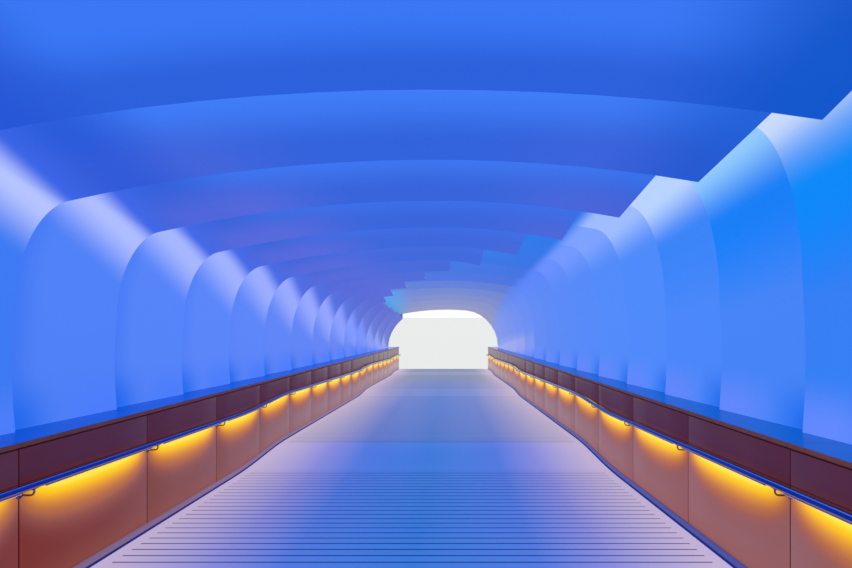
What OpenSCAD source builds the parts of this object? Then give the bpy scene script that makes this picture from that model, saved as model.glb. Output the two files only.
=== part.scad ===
// Enclosed passenger walkway bridge: a sloping tube of ramps and landings on steel columns,
// with copper wall panels, handrails, and a vault of two interleaved sets of lit curved shells.
// X runs across the walkway, Y along it towards its low end, Z up. The origin is on the ground,
// in the middle of the bridge. Stations s are measured along Y from the high end.

/* [Walkway] */
// Clear width between the wall panels
walkway_w = 5600; // [4800:100:6400]
// Length of one wall panel
bay = 1524; // [1400:4:1600]
// Number of wall panels in a row
bay_count = 19; // [18:1:22]
// Length of the ramp above the first landing
first_ramp_l = 5450; // [3000:50:7000]
// Length of each full ramp
ramp_l = 8001; // [6000:1:9000]
// Length of each landing
landing_l = 1524; // [1400:4:2000]
// Fall of the ramps per unit of length
ramp_slope = 0.068; // [0.04:0.001:0.08]
// Half the length of the curve between a ramp and a landing
curve_l = 450; // [100:10:650]
// Thickness of the floor topping at the ends of the bridge
topping_t = 100; // [90:5:180]

/* [Wall panels] */
// Height of the wall cap over the floor at the high end
cap_height = 1180; // [1100:10:1400]
// Fall of the wall cap and the vault per unit of length
cap_slope = 0.05; // [0.04:0.001:0.06]
// Thickness of the copper panels
panel_t = 18; // [8:1:30]
// Open joint between neighbouring panels
panel_joint = 8; // [4:1:14]
// Height over the floor at which the lower panels end
split_height = 893; // [850:1:940]
// Joint between the lower and the upper panels
split_joint = 14; // [6:1:24]
// Thickness of the framed wall behind the panels
knee_wall_t = 100; // [70:5:150]
// Thickness of the wall cap
cap_t = 34; // [20:1:50]
// Shadow joint under the wall cap
cap_reveal = 16; // [8:1:30]
// Overhang of the wall cap in front of the panels
cap_nose = 15; // [5:1:30]
// Joint between neighbouring cap pieces
cap_joint = 4; // [2:1:8]
// Depth of the ledge from the panels to the foot of the shells
ledge = 370; // [300:10:420]
// Height of the skirting strip
skirting_h = 60; // [40:5:100]
// Thickness of the skirting strip
skirting_t = 14; // [8:1:20]
// Shadow gap between the floor and the skirting
skirting_gap = 12; // [6:1:20]
// Thickness of the plates that close the ends of the walls
end_plate_t = 12; // [6:1:20]

/* [Handrail] */
// Height of the middle of the handrail over the floor
rail_h = 900; // [860:5:960]
// Diameter of the handrail tube
rail_d = 50; // [38:1:60]
// Distance from the panels to the middle of the handrail
rail_offset = 110; // [80:5:150]
// Distance from the ends of the walls to the ends of the handrail
rail_end = 150; // [100:10:400]
// Bend radius with which the handrail's ends return to the wall
rail_bend = 60; // [40:5:70]
// Diameter of the bracket rod
bracket_d = 14; // [10:1:18]
// Drop of the bracket rod below the handrail
bracket_drop = 48; // [40:1:70]
// Bend radius of the bracket rod
bracket_bend = 28; // [20:1:34]
// Diameter of the bracket flange on the wall
flange_d = 56; // [40:1:70]
// Thickness of the bracket flange
flange_t = 6; // [4:1:10]
// Width of the light strip under the handrail
rail_light_w = 16; // [8:1:24]
// Height of the light strip under the handrail
rail_light_h = 10; // [6:1:16]
// Distance from a bracket to the end of a light strip
rail_light_end = 110; // [70:5:200]

/* [Vault shells] */
// Number of shells on each side
shell_count = 15; // [13:1:16]
// Far edge of the first shell, from the high end
first_shell_l = 775; // [600:5:1000]
// Growth in length from one shell to the next
shell_growth = 1.07; // [1.03:0.01:1.09]
// Thickness of the shells
shell_t = 30; // [20:1:40]
// Length by which a shell starts before the edge of the one in front
shell_lap = 160; // [80:10:220]
// Outward lean of a shell's wall at its near edge
wall_flare = 100; // [60:5:120]
// Rise of a shell's ceiling at its near edge
ceiling_rise = 220; // [160:10:260]
// Outward belly of the shell walls
wall_belly = 25; // [0:1:40]
// Radius of the ceiling arcs
arc_r = 13000; // [11000:100:16000]
// Distance of the left set's crown to the right of the middle
crown_x = 200; // [0:10:300]
// Radius of the left set's ceiling beyond its crown, at the high end
droop_r = 16200; // [14000:100:18000]
// Loss of that radius for each length along the vault
droop_rate = 1.9; // [1.5:0.05:2]
// Least radius of the left set's ceiling beyond its crown
droop_least_r = 2500; // [2000:100:4000]
// Height of the left set's crown over the wall cap
left_crown = 2195; // [2100:5:2300]
// Height of the right set's crown over the wall cap at the high end
right_crown_near = 2730; // [2700:5:2780]
// Height of the right set's crown over the wall cap at the low end
right_crown_far = 2215; // [2150:5:2300]
// Width of the left set's rounded corner at the high end
left_corner_w = 420; // [300:10:600]
// Height of the left set's rounded corner at the high end
left_corner_h = 670; // [500:10:900]
// Width of the right set's rounded corner at the high end
right_corner_w = 420; // [300:10:600]
// Height of the right set's rounded corner at the high end
right_corner_h = 1150; // [900:10:1300]
// Width of both rounded corners at the low end
far_corner_w = 1800; // [1500:20:2100]
// Height of both rounded corners at the low end
far_corner_h = 1700; // [1400:20:1800]
// Station at which the left set's free edge starts its sweep, before the high end
sweep_start = 860; // [500:10:1200]
// Length over which the free edge sweeps across the ceiling
sweep_l = 20900; // [18000:100:22000]
// Half the travel of the free edge across the ceiling
sweep_half = 2440; // [2200:10:2450]
// Middle of the travel of the free edge
sweep_mid = 100; // [0:10:150]
// Length by which the right shells run on over the left ones
shell_overlap = 700; // [400:20:900]
// Width of the light strips behind the shell edges
cove_light_w = 40; // [20:1:60]
// Thickness of the light strips behind the shell edges
cove_light_t = 20; // [10:1:30]
// Distance of those light strips from the shell edge
cove_light_back = 60; // [30:5:90]

/* [Envelope] */
// Length of the walls left open to the sky beyond the vault
open_end_l = 2526; // [1800:2:3400]
// Distance from the foot of the shells to the outer walls
cavity = 280; // [260:10:400]
// Thickness of the outer walls without their cladding panels
outer_wall_t = 120; // [80:5:200]
// Thickness of the cladding panels
cladding_t = 30; // [15:1:50]
// Joint between the cladding panels
cladding_joint = 24; // [10:1:40]
// Height of the outer walls over the wall cap
wall_over_cap = 2750; // [2740:10:3000]
// Rise of the roof from the walls to the ridge
roof_rise = 430; // [400:10:600]
// Thickness of the roof at its eaves
roof_t = 150; // [100:5:220]
// Overhang of the roof past the cladding
roof_overhang = 150; // [120:5:250]
// Thickness of the end frames of the vault
portal_t = 80; // [50:5:120]
// Width of the gutters
gutter_w = 120; // [80:5:140]
// Depth of the gutters
gutter_h = 130; // [80:5:180]
// Wall thickness of the gutters
gutter_t = 4; // [2:1:8]
// Height by which the front of a gutter is lower than its back
gutter_drop = 20; // [5:1:40]

/* [Structure] */
// Clear height under the girders at the low end
clearance = 2400; // [1500:50:3500]
// Thickness of the structural deck
deck_t = 130; // [100:5:200]
// Depth of the main girders
girder_h = 700; // [500:10:900]
// Flange width of the main girders
girder_w = 300; // [240:10:360]
// Flange thickness of the main girders
girder_flange = 30; // [20:1:40]
// Web thickness of the main girders
girder_web = 18; // [12:1:25]
// Distance from the edge of the deck to the middle of each girder
girder_inset = 600; // [500:10:800]
// Distance from the sides of a flange to the web stiffeners
stiffener_inset = 15; // [5:1:30]
// Depth of the cross beams
beam_h = 400; // [250:10:460]
// Flange width of the cross beams
beam_w = 180; // [120:5:240]
// Flange thickness of the cross beams
beam_flange = 18; // [12:1:24]
// Web thickness of the cross beams
beam_web = 12; // [8:1:16]
// Distance from each end of the bridge to the nearest column pair
bent_inset = 1524; // [1000:4:2000]
// Length by which a crosshead runs on past the middle of a girder
crosshead_end = 300; // [200:10:400]
// Width of the crossheads
crosshead_w = 420; // [360:10:500]
// Depth of the crossheads
crosshead_h = 520; // [400:10:600]
// Thickness of the bearings at their thinner edge
bearing_t = 40; // [25:1:60]
// Size of the bearings
bearing_w = 280; // [220:10:300]
// Distance from the middle of a girder inwards to the column
column_inset = 550; // [400:10:800]
// Diameter of the columns
column_d = 457; // [355:1:508]
// Size of the column base plates
base_w = 760; // [700:10:900]
// Thickness of the base and top plates
base_t = 40; // [25:1:50]
// Distance between the anchor holes of a base plate
anchor_pitch = 600; // [560:10:640]
// Diameter of the anchor holes
anchor_d = 36; // [22:1:42]
// Height of the gussets at the foot of a column
gusset_h = 260; // [180:10:350]
// Thickness of the gussets
gusset_t = 20; // [10:1:30]
// Width of a gusset's blunt toe and distance from it to the edge of the plate
gusset_toe = 30; // [15:1:50]

/* [Hidden] */

// Clearance between pieces that seat on each other
seat = 0.2;
// Depth by which a gusset's straight edge sinks into the round column, as its weld does
gusset_sink = 4;
// Segments of a full circle on round bars, plates and holes
round_fn = 48;
// Sides of the handrail tube
rail_sides = 12;
rail_bend_steps = 5;
// Shells in one node
group_size = 4;
// Points along a shell's wall, its rounded corner and its ceiling
wall_steps = 3;
corner_steps = 7;
ceiling_steps = 7;
// Points across the roof
roof_steps = 16;

length = bay * bay_count;
half_w = walkway_w / 2;
vault_l = length - open_end_l;
covered_l = vault_l + portal_t + 2 * seat;
shell_x = half_w + ledge;
wall_in = shell_x + cavity;
wall_out = wall_in + outer_wall_t;
deck_x = wall_out + cladding_t;
eave_x = deck_x + roof_overhang;
rail_x = half_w - rail_offset;
girder_x = deck_x - girder_inset;
column_x = girder_x - column_inset;
crosshead_x = girder_x + crosshead_end;
rail_r = rail_d / 2;
// Distance from the middle of the handrail to the flat under it
rail_flat = rail_r * cos(180 / rail_sides);
// Where the handrail is straight from, and the station of its first bracket
rail_straight = rail_end + rail_r + rail_bend;
end_bracket = rail_straight + bracket_d;

// Ramps and landings: stations where the slope changes
ramp_pitch = ramp_l + landing_l;
landing_starts = [for (s = [first_ramp_l:ramp_pitch:length - landing_l / 2]) s];
slope_changes = [for (s = landing_starts) each [[s, ramp_slope], [s + landing_l, -ramp_slope]]];

// Length of landing passed up to station s
function landing_run(s, k = 0) =
    k == len(landing_starts) ? 0
    : min(max(s - landing_starts[k], 0), landing_l) + landing_run(s, k + 1);

far_floor_z = clearance + girder_h + deck_t + topping_t;
near_floor_z = far_floor_z + ramp_slope * (length - landing_run(length));
deck_slope = (near_floor_z - far_floor_z) / length;

// Rounding of the floor line at the slope changes: a parabola over twice the curve length
function curve_lift(s, k = 0) =
    k == len(slope_changes) ? 0
    : slope_changes[k][1] * pow(max(curve_l - abs(s - slope_changes[k][0]), 0), 2) / (4 * curve_l)
        + curve_lift(s, k + 1);

// Heights of the main lines at station s
floor_z = function (s) near_floor_z - ramp_slope * (s - landing_run(s)) + curve_lift(s);
deck_z = function (s) near_floor_z - topping_t - deck_slope * s;
cap_z = function (s) near_floor_z + cap_height - cap_slope * s;
rail_z = function (s) floor_z(s) + rail_h;
wall_z = function (s) cap_z(s) + wall_over_cap;

// A line raised or lowered by d
function shifted(line, d) = function (s) line(s) + d;

function along(s) = s - length / 2;

// Stations from s0 to s1 with those at which the floor line bends
function floor_stations(s0, s1) = concat(
    [s0],
    [for (c = slope_changes, j = [-2:2]) let (s = c[0] + j * curve_l / 2) if (s > s0 && s < s1) s],
    [s1]
);

// Outline in the Y-Z plane between a lower and an upper line
function strip(stations, low, high) = concat(
    [for (s = stations) [along(s), low(s)]],
    [for (i = [len(stations) - 1:-1:0]) [along(stations[i]), high(stations[i])]]
);

// Plate with an outline in the Y-Z plane, from x0 to x1
module side_plate(outline, x0, x1) {
    translate([x0, 0, 0]) rotate([90, 0, 90]) linear_extrude(height = x1 - x0) polygon(outline);
}

// Straight sloping slab from station s0 to s1, between two lines, from x0 to x1
module slab(s0, s1, low, high, x0, x1) {
    side_plate(strip([s0, s1], low, high), x0, x1);
}

// Plate across the walkway from station s0 to s1, drawn in the X-Z plane
module cross_plate(s0, s1) {
    translate([0, along(s1), 0]) rotate([90, 0, 0]) linear_extrude(height = s1 - s0) children();
}

// What is drawn for the right side, put on the side asked for
module on_side(side) {
    if (side < 0) mirror([1, 0, 0]) children();
    else children();
}

// Solid through rings of points: each ring runs out along one face and back along the other
module loft(rings) {
    n = len(rings[0]);
    far = (len(rings) - 1) * n;
    sides = [for (r = [0:len(rings) - 2], i = [0:n - 1])
        let (a = r * n + i, b = r * n + (i + 1) % n) each [[a, b, b + n], [a, b + n, a + n]]];
    ends = [for (i = [0:n / 2 - 2]) let (a = i, b = i + 1, c = n - 2 - i, d = n - 1 - i)
        each [[d, c, b], [d, b, a], [far + a, far + b, far + c], [far + a, far + c, far + d]]];
    polyhedron([for (ring = rings) each ring], concat(sides, ends));
}

// Columns, crossheads and bearings
bent_count = 4;
bent_pitch = (length - 2 * bent_inset) / (bent_count - 1);
function bent_s(i) = bent_inset + i * bent_pitch;
girder_top = shifted(deck_z, -deck_t);
girder_foot = shifted(deck_z, -deck_t - girder_h);
// The girder's underside is lowest at the far side of a bearing
function crosshead_top(i) = girder_foot(bent_s(i) + bearing_w / 2) - bearing_t;

module column(height) {
    difference() {
        translate([-base_w / 2, -base_w / 2, 0]) cube([base_w, base_w, base_t]);
        for (x = [-1, 1], y = [-1, 1]) translate([x * anchor_pitch / 2, y * anchor_pitch / 2, -1])
            cylinder(d = anchor_d, h = base_t + 2, $fn = round_fn);
    }
    translate([0, 0, base_t]) cylinder(d = column_d, h = height - 2 * base_t, $fn = round_fn);
    // Top plate under the crosshead
    translate([-crosshead_w / 2, -crosshead_w / 2, height - base_t])
        cube([crosshead_w, crosshead_w, base_t]);
    // Four gussets at the foot
    gusset_l = (base_w - column_d) / 2 - gusset_toe;
    for (turn = [0:90:270]) rotate([0, 0, turn]) translate([column_d / 2 - gusset_sink, 0, base_t])
        rotate([90, 0, 0]) linear_extrude(height = gusset_t, center = true) polygon([
            [0, 0], [gusset_l, 0], [gusset_l, gusset_toe], [gusset_toe, gusset_h], [0, gusset_h]]);
}

module columns(i) {
    color("lightslategray") for (side = [-1, 1])
        translate([side * column_x, along(bent_s(i)), 0]) column(crosshead_top(i) - crosshead_h - seat);
}

module crossheads() {
    color("slategray") for (i = [0:bent_count - 1]) {
        top = crosshead_top(i);
        // The ends taper past the columns
        taper_x = column_x + crosshead_w / 2;
        cross_plate(bent_s(i) - crosshead_w / 2, bent_s(i) + crosshead_w / 2) polygon([
            [-crosshead_x, top], [-crosshead_x, top - crosshead_h / 2],
            [-taper_x, top - crosshead_h], [taper_x, top - crosshead_h],
            [crosshead_x, top - crosshead_h / 2], [crosshead_x, top]]);
    }
}

module bearings() {
    color("dimgray") for (i = [0:bent_count - 1], side = [-1, 1]) on_side(side) {
        top = crosshead_top(i);
        slab(bent_s(i) - bearing_w / 2, bent_s(i) + bearing_w / 2,
            function (s) top + seat, shifted(girder_foot, -seat),
            girder_x - bearing_w / 2, girder_x + bearing_w / 2);
    }
}

// Steel below the floor
module girder(side) {
    color("slategray") on_side(side) {
        slab(0, length, shifted(girder_top, -girder_flange - seat), shifted(girder_top, -seat),
            girder_x - girder_w / 2, girder_x + girder_w / 2);
        slab(0, length, girder_foot, shifted(girder_foot, girder_flange),
            girder_x - girder_w / 2, girder_x + girder_w / 2);
        slab(0, length, shifted(girder_foot, girder_flange / 2), shifted(girder_top, -girder_flange / 2),
            girder_x - girder_web / 2, girder_x + girder_web / 2);
        // Web stiffeners over the bearings and at the ends
        for (s = concat([girder_web], [for (i = [0:bent_count - 1]) bent_s(i)], [length - girder_web]))
            slab(s - girder_web / 2, s + girder_web / 2,
                shifted(girder_foot, girder_flange / 2), shifted(girder_top, -girder_flange / 2),
                girder_x - girder_w / 2 + stiffener_inset, girder_x + girder_w / 2 - stiffener_inset);
    }
}

module floor_beams() {
    beam_end = girder_x - girder_w / 2 - seat;
    top = shifted(girder_top, -seat);
    color("slategray") for (k = [0:bay_count]) {
        s = min(max(k * bay, beam_w / 2), length - beam_w / 2);
        slab(s - beam_w / 2, s + beam_w / 2, shifted(top, -beam_flange), top, -beam_end, beam_end);
        slab(s - beam_web / 2, s + beam_web / 2,
            shifted(top, beam_flange / 2 - beam_h), shifted(top, -beam_flange / 2), -beam_end, beam_end);
        slab(s - beam_w / 2, s + beam_w / 2,
            shifted(top, -beam_h), shifted(top, beam_flange - beam_h), -beam_end, beam_end);
    }
}

module deck() {
    color("darkgray") slab(0, length, shifted(deck_z, -deck_t), deck_z, -deck_x, deck_x);
}

// Floor: ramps and landings laid on the deck
module floor_piece(s0, s1) {
    side_plate(strip(floor_stations(s0, s1), shifted(deck_z, seat), floor_z),
        seat - half_w, half_w - seat);
}

module ramp_floors() {
    starts = concat([0], [for (s = landing_starts) s + landing_l]);
    ends = concat(landing_starts, [length]);
    color("thistle") for (k = [0:len(starts) - 1])
        if (starts[k] < length) floor_piece(starts[k], min(ends[k], length));
}

module landing_floors() {
    color("lavender") for (s = landing_starts)
        floor_piece(s + seat, min(s + landing_l, length) - seat);
}

// Walls beside the walkway
panel_start = end_plate_t + seat;
panel_back = half_w + panel_t;
knee_wall_back = panel_back + knee_wall_t;
cap_under = shifted(cap_z, -cap_t);
split_low = shifted(floor_z, split_height);
split_high = shifted(floor_z, split_height + split_joint);
panel_foot = shifted(floor_z, skirting_gap);

// Stations at which panel k starts and ends, within the end plates
function panel_from(k, joint) = max(k * bay + joint / 2, panel_start);
function panel_to(k, joint) = min((k + 1) * bay - joint / 2, length - panel_start);

module knee_wall(side) {
    color("gray") on_side(side) slab(panel_start, length - panel_start,
        shifted(deck_z, seat), shifted(cap_under, -seat), panel_back + seat, knee_wall_back);
}

module panel_row(side, low, high) {
    on_side(side) for (k = [0:bay_count - 1]) side_plate(
        strip(floor_stations(panel_from(k, panel_joint), panel_to(k, panel_joint)), low, high),
        half_w, panel_back);
}

module lower_panels(side) {
    color("sienna") panel_row(side, panel_foot, split_low);
}

module upper_panels(side) {
    color([0.33, 0.2, 0.24]) panel_row(side, split_high, shifted(cap_under, -cap_reveal));
}

module skirting(side) {
    color("silver") on_side(side) side_plate(
        strip(floor_stations(panel_start, length - panel_start),
            panel_foot, shifted(panel_foot, skirting_h)),
        half_w - seat - skirting_t, half_w - seat);
}

module cap(side) {
    color("royalblue") on_side(side) for (k = [0:bay_count - 1])
        slab(k == 0 ? 0 : k * bay + cap_joint / 2,
            k == bay_count - 1 ? length : (k + 1) * bay - cap_joint / 2,
            cap_under, cap_z, half_w - cap_nose, wall_in - seat);
}

module wall_end_plates() {
    color("sienna") for (side = [-1, 1], s = [0, length - end_plate_t]) on_side(side)
        slab(s, s + end_plate_t, shifted(deck_z, seat), shifted(cap_under, -seat),
            half_w, wall_in - seat);
}

// Handrail with its brackets and lights

// Middle line of the handrail from wall to wall, as [x, station, turn of its sideways axis]
function rail_turn(centre_s, turns) = [for (q = turns)
    [rail_x + rail_bend * (1 - cos(q)), centre_s - rail_bend * sin(q), q]];
function rail_path() = concat(
    [[half_w - seat, rail_end + rail_r, 90]],
    rail_turn(rail_straight, [90:-90 / rail_bend_steps:0]),
    [for (s = floor_stations(rail_straight, length - rail_straight))
        if (s > rail_straight && s < length - rail_straight) [rail_x, s, 0]],
    rail_turn(length - rail_straight, [0:-90 / rail_bend_steps:-90]),
    [[half_w - seat, length - rail_end - rail_r, -90]]
);

module handrail(side) {
    color("lightsteelblue") on_side(side) loft([
        for (p = rail_path()) [
            for (i = [0:rail_sides - 1]) let (a = (i + 0.5) * 360 / rail_sides, out = rail_r * cos(a))
                [p[0] + out * cos(p[2]), along(p[1] + out * sin(p[2])), rail_z(p[1]) + rail_r * sin(a)]]]);
}

// Bent rod from its wall flange to the underside of the handrail, with the rail's flat at height 0
module rail_bracket() {
    rise = bracket_drop - bracket_bend;
    translate([half_w - seat, 0, -bracket_drop]) rotate([0, -90, 0])
        cylinder(d = flange_d, h = flange_t, $fn = round_fn);
    translate([half_w - flange_t / 2, 0, -bracket_drop]) rotate([0, -90, 0])
        cylinder(d = bracket_d, h = rail_offset - bracket_bend - flange_t / 2, $fn = round_fn);
    translate([rail_x + bracket_bend, 0, bracket_bend - bracket_drop]) rotate([90, 0, 0])
        rotate([0, 0, 180]) rotate_extrude(angle = 90, $fn = round_fn)
            translate([bracket_bend, 0]) circle(d = bracket_d, $fn = round_fn);
    translate([rail_x, 0, -rise]) cylinder(d = bracket_d, h = rise - seat, $fn = round_fn);
}

module rail_brackets(side) {
    stations = concat([end_bracket], [for (k = [1:bay_count - 1]) k * bay], [length - end_bracket]);
    color("silver") on_side(side) for (s = stations)
        translate([0, along(s), rail_z(s) - rail_flat - ramp_slope * bracket_d / 2]) rail_bracket();
}

module rail_lights(side) {
    top = shifted(rail_z, -rail_flat - seat);
    color("gold") on_side(side) for (k = [0:bay_count - 1]) side_plate(
        strip(floor_stations(max(k * bay, end_bracket) + rail_light_end,
                min((k + 1) * bay, length - end_bracket) - rail_light_end),
            shifted(top, -rail_light_h), top),
        rail_x - rail_light_w / 2, rail_x + rail_light_w / 2);
}

// Vault shells
first_shell_pitch = (vault_l - first_shell_l) * (shell_growth - 1)
    / (pow(shell_growth, shell_count - 1) - 1);
function shell_far(i) = first_shell_l
    + first_shell_pitch * (pow(shell_growth, i) - 1) / (shell_growth - 1);
function shell_near(i) = i == 0 ? portal_t + 2 * seat : shell_far(i - 1) - shell_lap;

// Where the left set's free edge lies across the ceiling
function free_edge(i) = sweep_mid
    + sweep_half * cos(180 * min(max((shell_far(i) + sweep_start) / sweep_l, 0), 1));

function blend(a, b, t) = a + (b - a) * t;

// Inner face of a shell that stands on the left, as [x, height over the cap] from foot to free edge.
// The ceiling is an arc, of another radius beyond its crown, and the corner is a quarter of an
// ellipse taken off below it.
function shell_profile(foot_x, corner_w, corner_h, crown, crown_at, beyond_r, reach, to_ceiling) =
    let (
        corner_x = corner_w - foot_x,
        top = function (x) crown - pow(x - crown_at, 2) / (2 * (x > crown_at ? beyond_r : arc_r)),
        last = reach > corner_x ? 0 : asin(min((corner_x - reach) / corner_w, 1)),
        wall_top = top(-foot_x) - corner_h
    )
    concat(
        [for (k = [0:wall_steps]) let (t = k / wall_steps)
            [-foot_x - wall_belly * sin(180 * t), wall_top * t]],
        [for (k = [1:corner_steps])
            let (a = blend(90, last, k / corner_steps), x = corner_x - corner_w * sin(a))
                [x, top(x) - corner_h * (1 - cos(a))]],
        to_ceiling ? [for (k = [1:ceiling_steps]) let (x = blend(corner_x, reach, k / ceiling_steps))
            [x, top(x)]] : []
    );

// The profile moved outwards by t
function outward(profile, t) = [for (i = [0:len(profile) - 1])
    let (
        d = profile[min(i + 1, len(profile) - 1)] - profile[max(i - 1, 0)],
        n = i == 0 ? [-1, 0] : [-d[1], d[0]] / norm(d)
    ) profile[i] + t * n];

// How far along the vault a station lies, from 0 to 1
function vault_share(s) = min(max(s / vault_l, 0), 1);

// Profiles of shell i of the left set, and of the right set drawn as if it stood on the left.
// open is 1 at the near edge, where the shell leans outwards, and 0 at the far edge.
function left_profile(i, s, open, reach) = let (u = vault_share(s)) shell_profile(
    shell_x + wall_flare * open,
    blend(left_corner_w, far_corner_w, u * u), blend(left_corner_h, far_corner_h, u),
    left_crown + ceiling_rise * open, crown_x, max(droop_r - droop_rate * s, droop_least_r), reach,
    reach > blend(left_corner_w, far_corner_w, u * u) - shell_x + shell_t);
function right_profile(i, s, open, reach) = let (u = vault_share(s)) shell_profile(
    shell_x + wall_flare * open,
    blend(right_corner_w, far_corner_w, u * u), blend(right_corner_h, far_corner_h, u),
    blend(right_crown_near, right_crown_far, u * u) + ceiling_rise * open, -crown_x, arc_r, reach,
    true);

// Where the shell's free edge lies, seen from the side on which it stands
function left_reach(i) = free_edge(i);
function right_reach(i) = shell_overlap - free_edge(i);

// The profiles at both edges of shell i, of the set asked for
function near_profile(side, i) = side < 0
    ? left_profile(i, shell_far(i), 1, left_reach(i)) : right_profile(i, shell_far(i), 1, right_reach(i));
function far_profile(side, i) = side < 0
    ? left_profile(i, shell_far(i), 0, left_reach(i)) : right_profile(i, shell_far(i), 0, right_reach(i));

// Points of a profile at station s, between two offsets outwards, as a ring for loft
function shell_ring(profile, s, inner, outer) = [
    for (p = concat(outward(profile, inner), reversed(outward(profile, outer))))
        [p[0], along(s), cap_z(s) + seat + p[1]]];
function reversed(list) = [for (i = [len(list) - 1:-1:0]) list[i]];

// Part of shell i between two shares of its length and two offsets from its inner face
module shell_part(side, i, share0, share1, inner, outer, first = 0) {
    near = tail(near_profile(side, i), first);
    far = tail(far_profile(side, i), first);
    on_side(-side) loft([for (share = [share0, share1])
        shell_ring(blend(near, far, share), blend(shell_near(i), shell_far(i), share), inner, outer)]);
}
function tail(list, first) = [for (i = [first:len(list) - 1]) list[i]];

module shells(side, group) {
    color(side < 0 ? "cornflowerblue" : "deepskyblue")
        for (i = [group * group_size:min((group + 1) * group_size, shell_count) - 1])
            shell_part(side, i, 0, 1, 0, shell_t);
}

// Light strips on the hidden faces of the shells, just behind their far edges
module cove_lights(side) {
    color("white") for (i = [0:shell_count - 1]) {
        shell_l = shell_far(i) - shell_near(i);
        shell_part(side, i, 1 - (cove_light_back + cove_light_w) / shell_l, 1 - cove_light_back / shell_l,
            shell_t + seat, shell_t + cove_light_t, 1);
    }
}

// Underside of the roof over the walls' top, and its upper face
function roof_low(x) = roof_rise * (1 - pow(min(abs(x) / wall_in, 1), 2));
function roof_high(x) = roof_t + roof_rise * (1 - pow(x / eave_x, 2));
function roof_x(k, reach) = reach * (2 * k / roof_steps - 1);

// Frame that closes the space between the shells, the outer walls and the roof
module portal(s0, s1, i, open) {
    frame_x = wall_in - seat;
    foot = cap_z(s0) + seat;
    left = left_profile(i, shell_far(i), open, free_edge(i));
    right = [for (p = right_profile(i, shell_far(i), open, -free_edge(i))) [-p[0], p[1]]];
    cross_plate(s0, s1) difference() {
        polygon(concat([[frame_x, foot], [-frame_x, foot]], [for (k = [0:roof_steps])
            let (x = roof_x(k, frame_x)) [x, wall_z(s1) + roof_low(x) - 2 * seat]]));
        translate([0, cap_z(s1)]) polygon(concat(
            [[left[0][0], -cap_t]], left, reversed(right), [[right[0][0], -cap_t]]));
    }
}

module near_portal() {
    color("lightsteelblue") portal(0, portal_t, 0, 1);
}

module far_portal() {
    color("lightsteelblue") portal(vault_l + seat, vault_l + seat + portal_t, shell_count - 1, 0);
}

// Outer envelope: full height beside the vault and low beside the open end
function wall_outline(s0, s1) =
    let (foot = shifted(deck_z, seat), high = shifted(wall_z, -seat))
    s1 <= covered_l ? strip([s0, s1], foot, high)
    : s0 >= covered_l ? strip([s0, s1], foot, cap_z)
    : concat([[along(s0), foot(s0)], [along(s1), foot(s1)], [along(s1), cap_z(s1)]],
        [for (line = [cap_z, high]) [along(covered_l), line(covered_l)]], [[along(s0), high(s0)]]);

module outer_wall(side) {
    color("gainsboro") on_side(side) {
        side_plate(wall_outline(0, length), wall_in, wall_out);
        // Cladding panels hung on the wall
        for (k = [0:bay_count - 1])
            side_plate(wall_outline(
                    k == 0 ? 0 : k * bay + cladding_joint / 2,
                    k == bay_count - 1 ? length : (k + 1) * bay - cladding_joint / 2),
                wall_out + seat, deck_x);
    }
}

module roof() {
    color("lightgray") loft([for (s = [0, covered_l]) [
        for (k = [0:roof_steps]) let (x = roof_x(k, eave_x)) [x, along(s), wall_z(s) + roof_low(x)],
        for (k = [roof_steps:-1:0]) let (x = roof_x(k, eave_x)) [x, along(s), wall_z(s) + roof_high(x)]]]);
}

module gutters() {
    rim = shifted(wall_z, -seat);
    foot = shifted(wall_z, -seat - gutter_h);
    x0 = deck_x + seat;
    color("gray") for (side = [-1, 1]) on_side(side) {
        slab(0, covered_l, foot, rim, x0, x0 + gutter_t);
        slab(0, covered_l, foot, shifted(rim, -gutter_drop), x0 + gutter_w - gutter_t, x0 + gutter_w);
        slab(0, covered_l, foot, shifted(foot, gutter_t), x0, x0 + gutter_w);
    }
}

columns(0);  // columns_1
columns(1);  // columns_2
columns(2);  // columns_3
columns(3);  // columns_4
crossheads();
bearings();
girder(-1);  // girder_left
girder(1);  // girder_right
floor_beams();
deck();
ramp_floors();
landing_floors();
knee_wall(-1);  // knee_wall_left
knee_wall(1);  // knee_wall_right
lower_panels(-1);  // lower_panels_left
lower_panels(1);  // lower_panels_right
upper_panels(-1);  // upper_panels_left
upper_panels(1);  // upper_panels_right
skirting(-1);  // skirting_left
skirting(1);  // skirting_right
cap(-1);  // cap_left
cap(1);  // cap_right
wall_end_plates();
handrail(-1);  // handrail_left
handrail(1);  // handrail_right
rail_brackets(-1);  // rail_brackets_left
rail_brackets(1);  // rail_brackets_right
rail_lights(-1);  // rail_lights_left
rail_lights(1);  // rail_lights_right
shells(-1, 0);  // left_shells_1
shells(-1, 1);  // left_shells_2
shells(-1, 2);  // left_shells_3
shells(-1, 3);  // left_shells_4
shells(1, 0);  // right_shells_1
shells(1, 1);  // right_shells_2
shells(1, 2);  // right_shells_3
shells(1, 3);  // right_shells_4
cove_lights(-1);  // cove_lights_left
cove_lights(1);  // cove_lights_right
near_portal();
far_portal();
outer_wall(-1);  // outer_wall_left
outer_wall(1);  // outer_wall_right
roof();
gutters();
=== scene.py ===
"""Finish of an enclosed, sloping passenger walkway bridge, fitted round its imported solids.

X runs across the walkway, Y along it towards its low end, Z up, in metres, with the origin on the
ground in the middle. Stations s are measured along Y from the high end.
"""

from __future__ import annotations

import logging
import math
from collections.abc import Callable, Iterable, Sequence
from dataclasses import dataclass, replace
from enum import Enum
from functools import cache

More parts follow.
